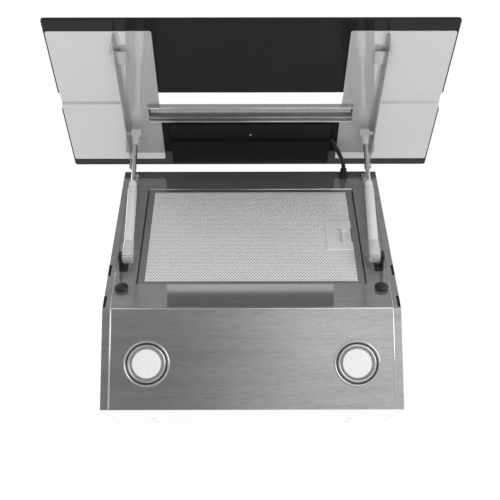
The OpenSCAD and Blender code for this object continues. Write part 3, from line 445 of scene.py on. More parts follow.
finish("black_glass", (0.019, 0.019, 0.02), 0.0, (0.04, 0.09), 0.1, 0.0, IOR=1.22)
print("finishes", len(FINISHES))

# %% [markdown]
# Most of the hood is folded sheet, glass and moulded plastic, whose shapes the solids already give,
# but with knife edges. Real edges are rounded and catch a thin line of light. So each solid's mesh
# is copied, its loose triangles are merged into clean faces, and a bevel rounds it.

# %% Rounded copies of the solids
NODES = frame["nodes"]
PIECES = {}
WELD, FLAT_DEG, BEVEL_STEPS, BEVEL_DEG = 2e-6, 0.4, 2, 32
SLOTS = {  # the slots of the finishes that have no slot of their own name
    "back_zinc": "zinc_steel", "blackened_steel": "black_metal", "brace_steel": "mirror_steel",
    "rolled_steel": "mirror_steel", "latch_aluminium": "filter_aluminium", "wadding": "filter_aluminium"}


def settle(obj, paint, *nodes, body=None, slot=None):
    """Give a finished piece its finish and body, and hide the nodes that it stands for; its slot is worked
    out but not set.
    """
    body = body or NODES[nodes[0]]["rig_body"]
    slot = slot or SLOTS.get(paint, paint)
    obj.data.materials.clear()
    obj.data.materials.append(FINISHES[paint])
    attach(obj, body)
    if nodes:
        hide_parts(*nodes)
    PIECES[obj.name] = obj
    return obj


def merged_mesh(name, node):
    """A clean mesh of this solid: doubles merged and flat triangles joined into faces."""
    bm = bmesh.new()
    bm.from_mesh(NODES[node].data)
    bmesh.ops.remove_doubles(bm, verts=bm.verts, dist=WELD)
    bmesh.ops.dissolve_limit(
        bm, angle_limit=math.radians(FLAT_DEG), verts=bm.verts, edges=bm.edges, delimit=set())
    mesh = bpy.data.meshes.new(name)
    bm.to_mesh(mesh)
    bm.free()
    if "custom_normal" in mesh.attributes:
        mesh.attributes.remove(mesh.attributes["custom_normal"])
    for face in mesh.polygons:
        face.use_smooth = True
        face.material_index = 0
    return mesh


def round_edges(obj, width):
    put(obj.modifiers.new("rounded_edges", "BEVEL"), width=width * MM, segments=BEVEL_STEPS,
        limit_method="ANGLE", angle_limit=math.radians(BEVEL_DEG), harden_normals=True,
        use_clamp_overlap=True, miter_outer="MITER_ARC")


def rounded(name, node, paint, width):
    """A copy of this solid with rounded edges, on the body that the solid rides."""
    obj = raw_object(name, merged_mesh(name, node))
    round_edges(obj, width)
    return settle(obj, paint, node)


for paint, width, pairs in [  # the pairs are {piece: solid}
    ("panel_steel", 0.8, {
        "face_sheet": "front_panel", "side_left": "left_side_panel", "side_right": "right_side_panel"}),
    ("back_zinc", 0.4, {"back_sheet": "back_panel"}),
    ("zinc_steel", 0.4, {"top_sheet": "top_panel"}),
    ("screw_steel", 0.5, {
        "hinge_left": "left_hinge_bracket", "hinge_right": "right_hinge_bracket",
        "hinge_pin_pair": "hinge_pins"}),
    ("black_metal", 0.6, {
        "foot_left": "left_strut_bracket", "foot_right": "right_strut_bracket"}),
    ("blackened_steel", 0.4, {"foot_pins": "strut_pins"}),
    ("black_glass", 0.9, {"pane_upper": "upper_glass", "pane_lower": "lower_glass"}),
    ("mirror_steel", 0.35, {
        "mirror_left": "left_mirror_plate", "mirror_right": "right_mirror_plate"}),
    ("rail_steel", 0.35, {"rail_left": "left_rail", "rail_right": "right_rail"}),
    ("brace_steel", 0.5, {"brace": "cross_brace"}),
    ("box_plastic", 1.0, {"control_cover": "control_box"}),
    ("screw_steel", 0.4, {"stud_pair": "strut_studs"}),
    ("filter_frame_steel", 0.8, {"filter_rim": "filter_frame"}),
    ("latch_aluminium", 0.4, {"latch_plate": "filter_latch_plate"}),
    ("latch_metal", 0.6, {"latch_slider": "filter_latch"}),
]:
    for name, node in pairs.items():
        rounded(name, node, paint, width)
print("rounded copies", len(PIECES))

# %% [markdown]
# Turned and moulded pieces, such as the lamp bezels, the bumpers and the grommet, are round about one
# axis. A profile spun round that axis, with more steps than the solid has, gives them a clean rim. A
# thin dark ring lies in each bezel's groove: partly a dark ring of the lamp's own, and partly painted
# shade for the groove.

# %% Turned pieces
FINE_STEPS, BUMPER_STEPS, ROUND_STEPS, ROD_STEPS, TURN_SHARP = 96, 72, 48, 40, 32


def baked(obj, name):
    """The evaluated object as a new object with a plain mesh. The first one is removed."""
    bpy.context.view_layer.update()
    evaluated = obj.evaluated_get(bpy.context.evaluated_depsgraph_get())
    mesh = bpy.data.meshes.new_from_object(evaluated)
    mesh.name = name
    bpy.data.objects.remove(obj)
    return raw_object(name, mesh)


def turned_mesh(name, profile, places, steps):
    """A closed ring or solid of (radius, height) profile points about local Z, at each place."""
    verts, faces, n = [], [], len(profile)
    for place in places:
        start = len(verts)
        for a in turns(steps):
            verts += [place @ Vector((r * math.cos(a), r * math.sin(a), h)) for r, h in profile]
        for i in range(steps):
            near, far = start + i * n, start + (i + 1) % steps * n
            for k in range(n):
                m = (k + 1) % n
                faces.append([near + k, far + k, far + m, near + m])
    mesh = new_mesh(name, verts, faces)
    bm = bmesh.new()
    bm.from_mesh(mesh)
    bmesh.ops.remove_doubles(bm, verts=bm.verts, dist=1e-6)
    bmesh.ops.dissolve_degenerate(bm, dist=1e-7, edges=bm.edges)
    bmesh.ops.recalc_face_normals(bm, faces=bm.faces)
    bm.to_mesh(mesh)
    bm.free()
    return smoothed(mesh, TURN_SHARP)


def turned(name, profile, places, steps, paint, *nodes, body=None):
    """A finished turned piece."""
    return settle(raw_object(name, turned_mesh(name, profile, places, steps)), paint, *nodes, body=body)


LAMP_X, LAMP_Y, LAMP_R = 148.4, 64.6, 33.0
lamp_places = [LIFTED @ Matrix.Translation((side * LAMP_X, -LAMP_Y, 0)) for side in (-1, 1)]
NECK_R, NECK_TOP, NECK_BORE = 29.45, 12.0, 20.7
bezel_profile = [
    (LAMP_R, 0), (LAMP_R - 0.1, -0.6), (32.4, -1.2), (31.6, -1.55), (30.8, -1.45), (30.1, -1), (29.6, -0.4),
    (29, 0.5), (28.3, 0.9), (27.7, 0.6), (27.3, -0.3), (26.8, -1.1), (26.1, -1.5), (25, -1.6),
    (24.3, -1.3), (23.8, -0.6), (23.5, 0.4), (23.1, 1.2), (22.3, 1.9), (21.3, 2.3), (NECK_BORE, 2.5),
    (NECK_BORE, NECK_TOP), (NECK_R, NECK_TOP), (NECK_R, 0)]
turned("bezel_pair", bezel_profile, lamp_places, FINE_STEPS, "bezel_steel", "lamp_bezels")
# A blackened ring in each bezel's groove, partly the lamp's own dark ring and partly painted shade.
RING_AT, RING_T, RING_Z, RING_SIDES = 28.35, 0.65, -0.1, 12
shade_ring_profile = [(RING_AT + RING_T * math.cos(a), RING_Z + RING_T * math.sin(a)) for a in turns(RING_SIDES)]
turned("bezel_rings", shade_ring_profile, lamp_places, FINE_STEPS, "blackened_steel", body="housing")
print("turned pieces", list(PIECES)[-2:])

# %% [markdown]
# The lens is frosted plastic. Six small light chips sit behind it and show through as faint yellow
# spots, so the finish measures the distance from each chip's place and tints the milky colour there.

# %% Lenses
LED_RING, LED_COUNT, LED_R = 13.0, 5, 2.6
HALO_SHARE, CORE_SHARE, CHIP_TINT = 1.7, 0.4, (0.73, 0.73, 0.66, 1)
lens_paint = finish("frosted_lens", (0.76, 0.76, 0.775), 0.0, (0.35, 0.45), 0.04, 0.02)
tree = lens_paint.node_tree
shader = tree.nodes["Principled BSDF"]
milky = shader.inputs["Base Color"].links[0].from_socket
spot = object_spot(tree)
chip_offsets = [(LED_RING * math.cos(a), LED_RING * math.sin(a)) for a in turns(LED_COUNT)] + [(0, 0)]
chips = [place @ Vector((x, y, 0)) for place in lamp_places for x, y in chip_offsets]
nearest = None
for chip in chips:
    away = add(tree, "VectorMath", {0: spot, 1: chip}, operation="DISTANCE").outputs["Value"]
    nearest = away if nearest is None else calc(tree, "MINIMUM", nearest, away)
tint = add(tree, "Mix", {
    "Factor": ramp(tree, nearest, LED_R * HALO_SHARE * MM, LED_R * CORE_SHARE * MM, 0.0, 1.0),
    6: milky, 7: CHIP_TINT}, data_type="RGBA")
feed(shader, {"Base Color": tint.outputs[2]})
LENS_R = 20.5
lens_profile = [
    (0, 2), (LENS_R, 2), (LENS_R, 0.5), (LENS_R - 0.4, 0.2), (LENS_R - 1.2, 0.05), (14, 0), (0, 0)]
turned("lens_pair", lens_profile, lamp_places, FINE_STEPS, "frosted_lens", "lamp_lenses")
print("lens tinted at", len(chips), "chips")

# %% [markdown]
# Two rubber bumpers near the fold stop the door, and a ribbed rubber grommet holds the cable.

# %% Bumpers and grommet
BUMPER_S, BUMPER_X = 48.0, 189.0
bumper_places = [FACE @ Matrix.Translation((side * BUMPER_X, BUMPER_S, 0)) for side in (-1, 1)]
bumper_profile = [
    (0, -6), (3.6, -6), (4, -5.6), (4, 0), (6.2, 0), (6.2, 0.8), (6, 2.8), (9.3, 3), (9.9, 3.4), (10, 4.1),
    (9.7, 5), (8.6, 5.9), (6.6, 6.6), (3.4, 7), (0, 7)]
turned("bumper_pair", bumper_profile, bumper_places, BUMPER_STEPS, "rubber", "bumpers")

GROMMET_X, GROMMET_S, CABLE_R = 156.5, FACE_LEN - 18.0, 3.4
GROMMET_H, GROMMET_BORE, RIBS, RIB_PITCH, RIB_DEEP = 16.0, 3.45, 5, 2.4, 0.5
FIRST_RIB, FIRST_RIB_R, RIB_TAPER = 2.9, 6.6, 0.3
grommet_profile = [
    (GROMMET_BORE, -5), (5.6, -5), (5.6, 0), (7.7, 0), (8, 0.4), (8, 1.5), (7.6, 1.95), (6.9, 2.1)]
for rib in range(RIBS):
    low, r = FIRST_RIB + rib * RIB_PITCH, FIRST_RIB_R - RIB_TAPER * rib
    grommet_profile += [
        (r, low), (r - 0.05, low + 1.1), (r - RIB_DEEP, low + 1.4), (r - RIB_DEEP - 0.05, low + 2.1)]
grommet_profile += [
    (5.1, GROMMET_H - 0.9), (4.7, GROMMET_H - 0.2), (4.2, GROMMET_H), (GROMMET_BORE, GROMMET_H)]
grommet_place = FACE @ Matrix.Translation((GROMMET_X, GROMMET_S, 0))
turned("grommet", grommet_profile, [grommet_place], ROUND_STEPS, "rubber", "cable_grommet")
print("rubber pieces", list(PIECES)[-2:])

# %% [markdown]
# Each gas strut is a painted cylinder with a rolled ring at both ends, a slim rod and a moulded fitting
# with a tapered sleeve. The solid gives their places. Turned profiles add the rings and the taper.

# %% Gas struts
STRUT_R, STRUT_BORE, ROD_R, TUBE_START, TUBE_LEN, TUBE_FLOOR = 7.2, 3.56, 3.5, 24.7, 120.0, 5.0
CAP_R, CAP_LEN, CAP_NECK, ROD_REACH, ROD_END_LEN = 6.2, 14.0, 5.0, 44.0, 26.0
TUBE_END = TUBE_START + TUBE_LEN
CAP_START = TUBE_END - CAP_LEN
ROD_TOP = STRUT_LEN - ROD_END_LEN
tube_profile = [
    (STRUT_BORE, TUBE_START + TUBE_FLOOR), (0, TUBE_START + TUBE_FLOOR), (0, TUBE_START),
    (6.2, TUBE_START), (6.2, TUBE_START + 0.7), (STRUT_R, TUBE_START + 1.2),
    (STRUT_R, CAP_START - 1), (STRUT_R - 0.4, CAP_START - 0.2),
    (CAP_NECK, CAP_START), (CAP_NECK, CAP_START + 0.9), (CAP_R, CAP_START + 1.4),
    (CAP_R, TUBE_END - 6), (5.8, TUBE_END - 2), (5.2, TUBE_END - 0.5), (4.5, TUBE_END),
    (3.9, TUBE_END), (STRUT_BORE, TUBE_END - 0.4)]
rod_profile = [(0, TUBE_END - ROD_REACH), (ROD_R, TUBE_END - ROD_REACH), (ROD_R, ROD_TOP), (0, ROD_TOP)]


def strut_place(side, turn_deg, axis):
    """Local Z runs from the strut's lower pivot, along it (-90 about X) or across it (90 about Y)."""
    turned_axis = Matrix.Rotation(math.radians(turn_deg), 4, axis)
    return STRUT @ Matrix.Translation((side * STRUT_X, 0, 0)) @ turned_axis


def pinned_sleeve(name, place, sections, pin_hole):
    """A sleeve that is round at one end and squarer at the other, pierced across for its pin."""
    verts = []
    for at, r, squareness in sections:
        for a in turns(ROUND_STEPS):
            c, s = math.cos(a), math.sin(a)
            reach = r / (abs(c) ** squareness + abs(s) ** squareness) ** (1 / squareness)
            verts.append(place @ Vector((reach * c, reach * s, at)))
    *quads, low_end, high_end = ring_faces(len(sections), ROUND_STEPS)
    faces = [[a, d, c, b] for a, b, c, d in quads] + [low_end[::-1], high_end[::-1]]
    sleeve = mesh_object(name + "_uncut", verts, faces)
    cutter = raw_object(name + "_hole", pin_hole)
    put(sleeve.modifiers.new("pin_hole", "BOOLEAN"), operation="DIFFERENCE", object=cutter)
    done = baked(sleeve, name)
    bpy.data.objects.remove(cutter)
    smoothed(done.data, SLEEVE_SHARP)
    return done


SOCKET_R, PIN_R, PIN_STEPS, HOLE_REACH, SLEEVE_SHARP = 8.4, 4.05, 32, 10, 34
socket_sections = [
    (-6.5, 7.9, 6), (-6.3, 8.3, 6), (-5.3, SOCKET_R, 6), (-5, 8.2, 6), (-4.9, 6.2, 6), (-3.7, 6.2, 6),
    (-3.6, 8.2, 6), (-3.3, SOCKET_R, 6), (0, SOCKET_R, 5), (6, 8.3, 3.6), (12, 8.2, 2.5), (18, 8.1, 2),
    (TUBE_START - 0.6, 8, 2), (TUBE_START - 0.2, 7.8, 2), (TUBE_START, 7.3, 2)]
hole_profile = [(0, -HOLE_REACH), (PIN_R, -HOLE_REACH), (PIN_R, HOLE_REACH), (0, HOLE_REACH)]
for side, word in ((-1, "left"), (1, "right")):
    along = strut_place(side, -90, "X")
    turned(f"cylinder_{word}", tube_profile, [along], ROUND_STEPS, "strut_paint", f"{word}_strut_tube")
    turned(f"rod_{word}", rod_profile, [along], ROD_STEPS, "rod_chrome", f"{word}_strut_rod")
    hole = turned_mesh("hole", hole_profile, [strut_place(side, 90, "Y")], PIN_STEPS)
    sleeve = pinned_sleeve(f"socket_{word}", along, socket_sections, hole)
    settle(sleeve, "strut_plastic", f"{word}_strut_socket")
    rounded(f"rod_end_{word}", f"{word}_rod_end", "strut_plastic", 0.6)
print("struts", round(STRUT_LEN, 1))

# %% [markdown]
# The control cable leaves the grommet, dips and enters the box on the door. It bends as the door
# swings. Here it is one smooth tube from the body to the door, and it is tied to neither.

# %% Control cable
BOX_HALF, CABLE_T, CABLE_HIGH = 130.0, 88.0, 6.5
CABLE_LOW, CABLE_CLEAR, CABLE_LEAD, CABLE_TAIL, CABLE_SLACK = -4.8, 1.0, 2.5, 2.3, 0.02
STRAIGHT_SHARE, POINTS_BETWEEN, CABLE_SIDES, TUBE_SHARP = 0.9, 5, 20, 40
CABLE_SHARES = [
    (1, 0), (0.96, 0.12), (0.88, 0.26), (0.76, 0.41), (0.61, 0.57), (0.45, 0.72), (0.3, 0.87), (0.19, 0.97)]
cable_root = FACE @ Vector((GROMMET_X, GROMMET_S, CABLE_LOW))
cable_from = FACE @ Vector((GROMMET_X, GROMMET_S, GROMMET_H + CABLE_CLEAR))
cable_to = GLASS @ Vector((BOX_HALF, CABLE_T, CABLE_HIGH))
route = [cable_root, cable_root.lerp(cable_from, STRAIGHT_SHARE)] + [
    Vector([a + (b - a) * share for a, b, share in zip(cable_from, cable_to, (1 - across, out, out))])
    for across, out in CABLE_SHARES]
route += [cable_to + Vector((lead * MM, 0, 0)) for lead in (CABLE_LEAD, -CABLE_TAIL)]


def smooth_route(points, between):
    """Points on a curve through all the given ones, a few between each two."""
    ends = [points[0] * 2 - points[1], *points, points[-1] * 2 - points[-2]]
    route = []
    for i in range(1, len(ends) - 2):
        a, b, c, d = ends[i - 1:i + 3]
        for k in range(between):
            t = k / between
            route.append(0.5 * (2 * b + (c - a) * t + (2 * a - 5 * b + 4 * c - d) * t * t
                                + (3 * b - a - 3 * c + d) * t ** 3))
    return route + [points[-1]]


def tube_mesh(name, route, radius, sides):
    """A closed tube round a route, each ring square to the way it runs."""
    verts = []
    across = Vector((1, 0.4, 0.2))
    for i, at in enumerate(route):
        way = (route[min(i + 1, len(route) - 1)] - route[max(i - 1, 0)]).normalized()
        one = across.cross(way).normalized()
        two = way.cross(one)
        verts += [at + radius * (math.cos(a) * one + math.sin(a) * two) for a in turns(sides)]
    return smoothed(new_mesh(name, verts, ring_faces(len(route), sides)), TUBE_SHARP)


cable_points = smooth_route(route, POINTS_BETWEEN)
cable_mesh = tube_mesh("door_cable", cable_points, (CABLE_R - CABLE_SLACK) * MM, CABLE_SIDES)
cable = raw_object("door_cable", cable_mesh)
cable.data.materials.append(FINISHES["cable_sheath"])
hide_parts("control_cable")
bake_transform(cable)
print("cable length mm", round(sum((b - a).length for a, b in zip(cable_points, cable_points[1:])) / MM))

# %% [markdown]
# The filter's face is a thin aluminium sheet with thousands of small holes in staggered rows. Geometry
# Nodes lay a six-sided cell at each place of the pattern, merge the cells into one sheet, shrink a
# copy of each cell to cut its hole, and give the sheet its thickness. The latch plate's place is left
# out, since the sheet is cut away there.

# %% Perforated sheet
def run_nodes(obj, tree, values):
    """Run a Geometry Nodes tree on an object, with values for its named inputs."""
    modifier = obj.modifiers.new(tree.name, "NODES")
    modifier.node_group = tree
    for item in tree.interface.items_tree:
        if item.in_out == "INPUT" and item.name in values:
            modifier[item.identifier] = values[item.name]


def set_at_points(tree, enter, piece, turn):
    """A copy of the piece at each point that enters, turned by this vector, as one mesh."""
    spin = tree.nodes.new("FunctionNodeEulerToRotation")
    feed(spin, {0: turn})
    laid = add(tree, "InstanceOnPoints", {
        "Points": enter["Geometry"], "Instance": piece, "Rotation": spin})
    return add(tree, "RealizeInstances", {"Geometry": laid})


def leave_painted(tree, geometry, enter, leave):
    painted = add(tree, "SetMaterial", {"Geometry": geometry, "Material": enter["Finish"]})
    feed(leave, {"Geometry": painted})


CELL_MERGE, SEAL_MERGE = 0.0004, 0.00005
PERFORATED, enter, leave = new_tree("perforated_sheet", "GeometryNodeTree", {
    "Geometry": GEOMETRY, "Cell Radius": FLOAT, "Hole Share": FLOAT, "Thickness": FLOAT,
    "Finish": MATERIAL}, {"Geometry": GEOMETRY})
tree = PERFORATED
cell = add(tree, "MeshCircle", {"Vertices": 6, "Radius": enter["Cell Radius"]}, fill_type="NGON")
cells = set_at_points(tree, enter, cell, (0, 0, math.radians(30)))
joined = add(tree, "MergeByDistance", {"Geometry": cells, "Distance": CELL_MERGE})
inset = add(tree, "ExtrudeMesh", {"Mesh": joined, "Offset Scale": 0.0})
shrunk = add(tree, "ScaleElements", {
    "Geometry": inset, "Selection": inset.outputs["Top"], "Scale": enter["Hole Share"]})
pierced = add(tree, "DeleteGeometry", {
    "Geometry": shrunk, "Selection": inset.outputs["Top"]}, domain="FACE")
raised = add(tree, "ExtrudeMesh", {
    "Mesh": pierced, "Individual": False, "Offset Scale": enter["Thickness"]})
both = add(tree, "JoinGeometry", {0: raised})
feed(both, {0: add(tree, "FlipFaces", {"Mesh": pierced})})
sealed = add(tree, "MergeByDistance", {"Geometry": both, "Distance": SEAL_MERGE})
leave_painted(tree, sealed, enter, leave)

FILTER_START, FILTER_LEN, FILTER_HALF = 60.0, 275.0, 168.0
HOLE_PITCH, HOLE_SHARE, HALF_COLUMNS = 4.45, 0.62, 40
ROW_PITCH = HOLE_PITCH * math.sqrt(3) / 2
MESH_HALF, MESH_LOW, MESH_HIGH = 159.5, 66.5, 328.5
LATCH_LEFT, LATCH_LOW, LATCH_HIGH, LATCH_LAP = 117.0, 154.0, 237.0, 4
SHEET_TOP, SHEET_T = -1.5, 1.0
spots = []
for row in range(int((MESH_HIGH - MESH_LOW) / ROW_PITCH) + 1):
    s = MESH_LOW + row * ROW_PITCH
    for column in range(-HALF_COLUMNS, HALF_COLUMNS + 1):
        x = (column + 0.5 * (row % 2)) * HOLE_PITCH
        beside_latch = LATCH_LOW + LATCH_LAP < s < LATCH_HIGH - LATCH_LAP
        if abs(x) <= MESH_HALF and not (beside_latch and x > LATCH_LEFT + LATCH_LAP):
            spots.append((x * MM, s * MM, 0))
sheet = mesh_object("hole_places", spots, [])
run_nodes(sheet, PERFORATED, {
    "Cell Radius": HOLE_PITCH / math.sqrt(3) * MM, "Hole Share": HOLE_SHARE, "Thickness": SHEET_T * MM,
    "Finish": FINISHES["filter_aluminium"]})
sheet = baked(sheet, "filter_sheet")
sheet.data.transform(FACE @ Matrix.Translation((0, 0, SHEET_TOP - SHEET_T)) @ Matrix.Scale(1 / MM, 4))
settle(sheet, "filter_aluminium", "filter_mesh")
print("holes", len(spots), "faces", len(sheet.data.polygons))

# %% [markdown]
# Under the holes lies a pad of knitted aluminium, a closed slab whose upper side is wavy both ways.

# %% Wadding behind the perforated sheet
PAD_HALF, PAD_LOW, PAD_HIGH, PAD_TOP, PAD_T = 157.0, 68.5, 326.5, -4.6, 3.4
PAD_COLUMNS, PAD_ROWS, WAVE, WAVE_ACROSS, WAVE_UP = 80, 64, 1.2, 0.55, 0.48
verts, faces = [], []
for upper in (True, False):
    for j in range(PAD_ROWS + 1):
        for i in range(PAD_COLUMNS + 1):
            x = PAD_HALF * (2 * i / PAD_COLUMNS - 1)
            y = PAD_LOW + (PAD_HIGH - PAD_LOW) * j / PAD_ROWS
            ripple = WAVE * (math.sin(x * WAVE_ACROSS) * math.sin(y * WAVE_UP) - 1) / 2
            verts.append(FACE @ Vector((x, y, PAD_TOP + ripple if upper else PAD_TOP - PAD_T)))
n = PAD_COLUMNS + 1
count = n * (PAD_ROWS + 1)
for a in (j * n + i for j in range(PAD_ROWS) for i in range(PAD_COLUMNS)):
    quad = [a, a + 1, a + n + 1, a + n]
    faces += [quad, [v + count for v in reversed(quad)]]
rim = [*range(n), *range(2 * n - 1, count, n), *range(count - 2, count - n - 1, -1),
       *range(count - 2 * n, 0, -n)]
for a, b in zip(rim, rim[1:] + rim[:1]):
    faces.append([b, a, a + count, b + count])
pad = mesh_object("filter_wadding", verts, faces)
settle(pad, "wadding", body="grease_filter")
print("wadding faces", len(pad.data.polygons))

# %% [markdown]
# The screws are pressed pieces with a low dome and a driver's recess: a cross in the small ones and a
# six-sided socket in the hinge bolts. One head is drawn ring by ring, its recess as one of the rings,
# and Geometry Nodes set a copy at each place, turned the way that the sheet under it faces.

# %% Screw heads
HEAD_DOME = ((0.97, 0), (1, 0.12), (1, 0.5), (0.95, 0.75), (0.84, 0.9), (0.7, 0.97))
LIP_WIDER, LIP_DROP, FLOOR_SHARE, POINT_SHARE, HEAD_SHARP = 1.05, 0.08, 0.9, 1.15, 38


def cross_edge(a, reach, wide):
    """Distance from the middle to the edge of a cross, in the direction a."""
    c, s = max(abs(math.cos(a)), 1e-6), max(abs(math.sin(a)), 1e-6)
    return max(min(reach / c, wide / s), min(reach / s, wide / c))


def socket_edge(a, reach, wide):
    """Distance from the middle to the edge of a six-sided hole, in the direction a."""
    sixth = math.pi / 3
    return reach * math.cos(sixth / 2) / math.cos(a % sixth - sixth / 2)


def head_mesh(name, r, h, edge, reach, wide, deep, steps=48):
    """A domed head standing on z = 0, with a recess whose edge a function gives."""
    rings = [[(r * share, up * h)] * steps for share, up in HEAD_DOME]
    for share, z in ((LIP_WIDER, h), (1, h - LIP_DROP), (FLOOR_SHARE, h - deep)):
        rings.append([(edge(a, reach, wide) * share, z) for a in turns(steps)])
    verts = [(d * math.cos(a) * MM, d * math.sin(a) * MM, z * MM)
             for ring in rings for a, (d, z) in zip(turns(steps), ring)]
    last = (len(rings) - 1) * steps
    faces = ring_faces(len(rings), steps)[:-1]
    faces += [[last + i, last + (i + 1) % steps, len(verts)] for i in range(steps)]
    verts.append((0, 0, (h - deep * POINT_SHARE) * MM))
    return smoothed(new_mesh(name, verts, faces), HEAD_SHARP)


PLACED, enter, leave = new_tree("placed_pieces", "GeometryNodeTree", {
    "Geometry": GEOMETRY, "Piece": PIECE, "Turn": VECTOR, "Finish": MATERIAL}, {"Geometry": GEOMETRY})
piece = add(PLACED, "ObjectInfo", {"Object": enter["Piece"]}).outputs["Geometry"]
leave_painted(PLACED, set_at_points(PLACED, enter, piece, enter["Turn"]), enter, leave)


def set_out(name, mesh, places, turn_deg, paint):
    """One mesh with a copy of this one at each place, all turned about X alike."""
    single = raw_object(name + "_single", mesh)
    holder = mesh_object(name, places, [])
    run_nodes(holder, PLACED, {
        "Piece": single, "Turn": (math.radians(turn_deg), 0, 0), "Finish": FINISHES[paint]})
    done = baked(holder, name)
    bpy.data.objects.remove(single)
    return done


# radius, height, and the recess: its edge, reach, width and depth
BOLT_HEAD = (3.2, 3, socket_edge, 1.9, 0, 1.7)
SMALL_HEAD = (3.8, 1.6, cross_edge, 2.2, 0.55, 1.1)
COVER_HEAD = (2.5, 1.2, cross_edge, 1.5, 0.4, 0.9)
BOLT_X, BOLT_DROPS, FOOT_T = 190.7, (16.0, 30.0), 2.0
FOOT_SCREW_X, FOOT_SCREW_UP = 188.6, -1.5
DUCT_Y, DUCT_FLANGE_T, SCREW_CIRCLE = 160.0, 1.5, 82.5
COVER_SCREW_T, COVER_LOW = 110.0, 10.0
TOP_Z = FACE_LEN * math.sin(math.radians(FACE_TILT))
bolt_at = [FACE @ Vector((side * BOLT_X, FACE_LEN - drop, FOOT_T)) for side in (-1, 1) for drop in BOLT_DROPS]
foot_at = [FACE @ Vector((side * FOOT_SCREW_X, STRUT_S + FOOT_SCREW_UP, FOOT_T)) for side in (-1, 1)]
collar_at = [LIFTED @ Vector((SCREW_CIRCLE * math.cos(a), SCREW_CIRCLE * math.sin(a) - DUCT_Y,
                              TOP_Z + DUCT_FLANGE_T)) for a in turns(4)]
cover_at = [GLASS @ Vector((0, COVER_SCREW_T, COVER_LOW))]
for name, node, head, places, turn_deg, paint in [
    ("hinge_bolt_heads", "hinge_bolts", BOLT_HEAD, bolt_at, FACE_TURN, "screw_steel"),
    ("foot_screw_heads", "strut_bracket_screws", SMALL_HEAD, foot_at, FACE_TURN, "blackened_steel"),
    ("collar_screw_heads", "collar_screws", SMALL_HEAD, collar_at, 0, "screw_steel"),
    ("cover_screw", "control_screw", COVER_HEAD, cover_at, DOOR_TURN, "screw_steel"),
]:
    settle(set_out(name, head_mesh(name, *head), places, turn_deg, paint), paint, node)
print("screw heads", len(bolt_at + foot_at + collar_at + cover_at))

# %% [markdown]
# The duct collar is a moulded ring. A spun profile gives it a round step above its flange, a bead that
# holds the duct and a softened lip. Small black trays sit in the slots of the side strips, painted shade
# for the dark inside of the slots.

# %% Collar and slot shade trays
DUCT_R, COLLAR_TOP, COLLAR_BORE, FLANGE_BORE, DUCT_STEPS = 75.0, 43.5, 73.5, 71.0, 128
collar_profile = [
    (FLANGE_BORE, 0.3), (71.3, 0), (87.6, 0), (88, 0.4), (88, 1.1), (87.5, DUCT_FLANGE_T),
    (76.6, DUCT_FLANGE_T), (75.4, 1.9), (DUCT_R, 2.8), (DUCT_R, 31), (74.6, 31.6), (74.6, 33),
    (DUCT_R, 33.6), (DUCT_R, 42.2), (74.7, 43.1), (74.1, COLLAR_TOP), (73.8, COLLAR_TOP),
    (COLLAR_BORE, 43.1), (COLLAR_BORE, DUCT_FLANGE_T), (71.3, DUCT_FLANGE_T), (FLANGE_BORE, 1.2)]
duct_at = LIFTED @ Matrix.Translation((0, -DUCT_Y, TOP_Z))
turned("duct_ring", collar_profile, [duct_at], DUCT_STEPS, "black_plastic", "duct_collar")


def trays(name, corners, wall, floor_t, width):
    """Open trays between (low, high) corners on the leaning face, with rounded edges."""
    verts, faces = [], []
    *quads, low_end, high_end = ring_faces(4, 4)
    for (x0, y0, z0), (x1, y1, z1) in corners:
        faces += [[len(verts) + i for i in face] for face in (low_end, *quads, high_end)]
        for z, w in ((z0, 0), (z1, 0), (z1, wall), (z0 + floor_t, wall)):
            verts += [FACE @ Vector((x, y, z)) for x, y in (
                (x0 + w, y0 + w), (x1 - w, y0 + w), (x1 - w, y1 - w), (x0 + w, y1 - w))]
    obj = mesh_object(name, verts, faces)
    round_edges(obj, width)
    return obj


HALF_W, SLOT_W, SLOT_LEN, SLOT_DEEP, SLOT_STARTS = 212.5, 4.5, 28.0, 4.8, (3.0, 83.0)
SHADE_TRAY_LOW, SHADE_TRAY_IN, SHADE_TRAY_SHORT = -0.3, 0.05, 0.1
SHADE_TRAY_SHEET, TRAY_SHEET = (0.7, 1.2, 0.15), (0.5, 0.4, 0.12)  # wall, floor and rounding
inner, outer = HALF_W - SLOT_W + SHADE_TRAY_IN, HALF_W - SHADE_TRAY_IN
slots = [((low, start + SHADE_TRAY_SHORT, -SLOT_DEEP), (high, start + SLOT_LEN - SHADE_TRAY_SHORT, SHADE_TRAY_LOW))
         for low, high in ((-outer, -inner), (inner, outer)) for start in SLOT_STARTS]
# The black trays are painted shade for the dark inside of the slots.
settle(trays("slot_liners", slots, *SHADE_TRAY_SHEET), "black_plastic", body="housing")
print("slot liners", len(slots))

# %% [markdown]
# Behind the latch a shallow light tray keeps the wadding away from the slider. It could be pressed
# from the same aluminium as the latch plate.

# %% Latch tray
TRAY_LOW, TRAY_HIGH = (133.5, 173.5, -4.6), (157.0, 216.5, -3.75)
latch_tray = trays("latch_tray", [(TRAY_LOW, TRAY_HIGH)], *TRAY_SHEET)
settle(latch_tray, "latch_aluminium", body="grease_filter")
print("latch tray", len(latch_tray.data.polygons))

# %% [markdown]
# Where the folded sheets meet, their edges catch a thin line of light: along the fold, beside the lamps
# and part of the way up the leaning face. A half-sunk bead gives each of them, and one more lies along
# the top of the filter's opening. Each bead reflects as a round edge does, and its finish is far lighter
# than the sheet's, a painted highlight.

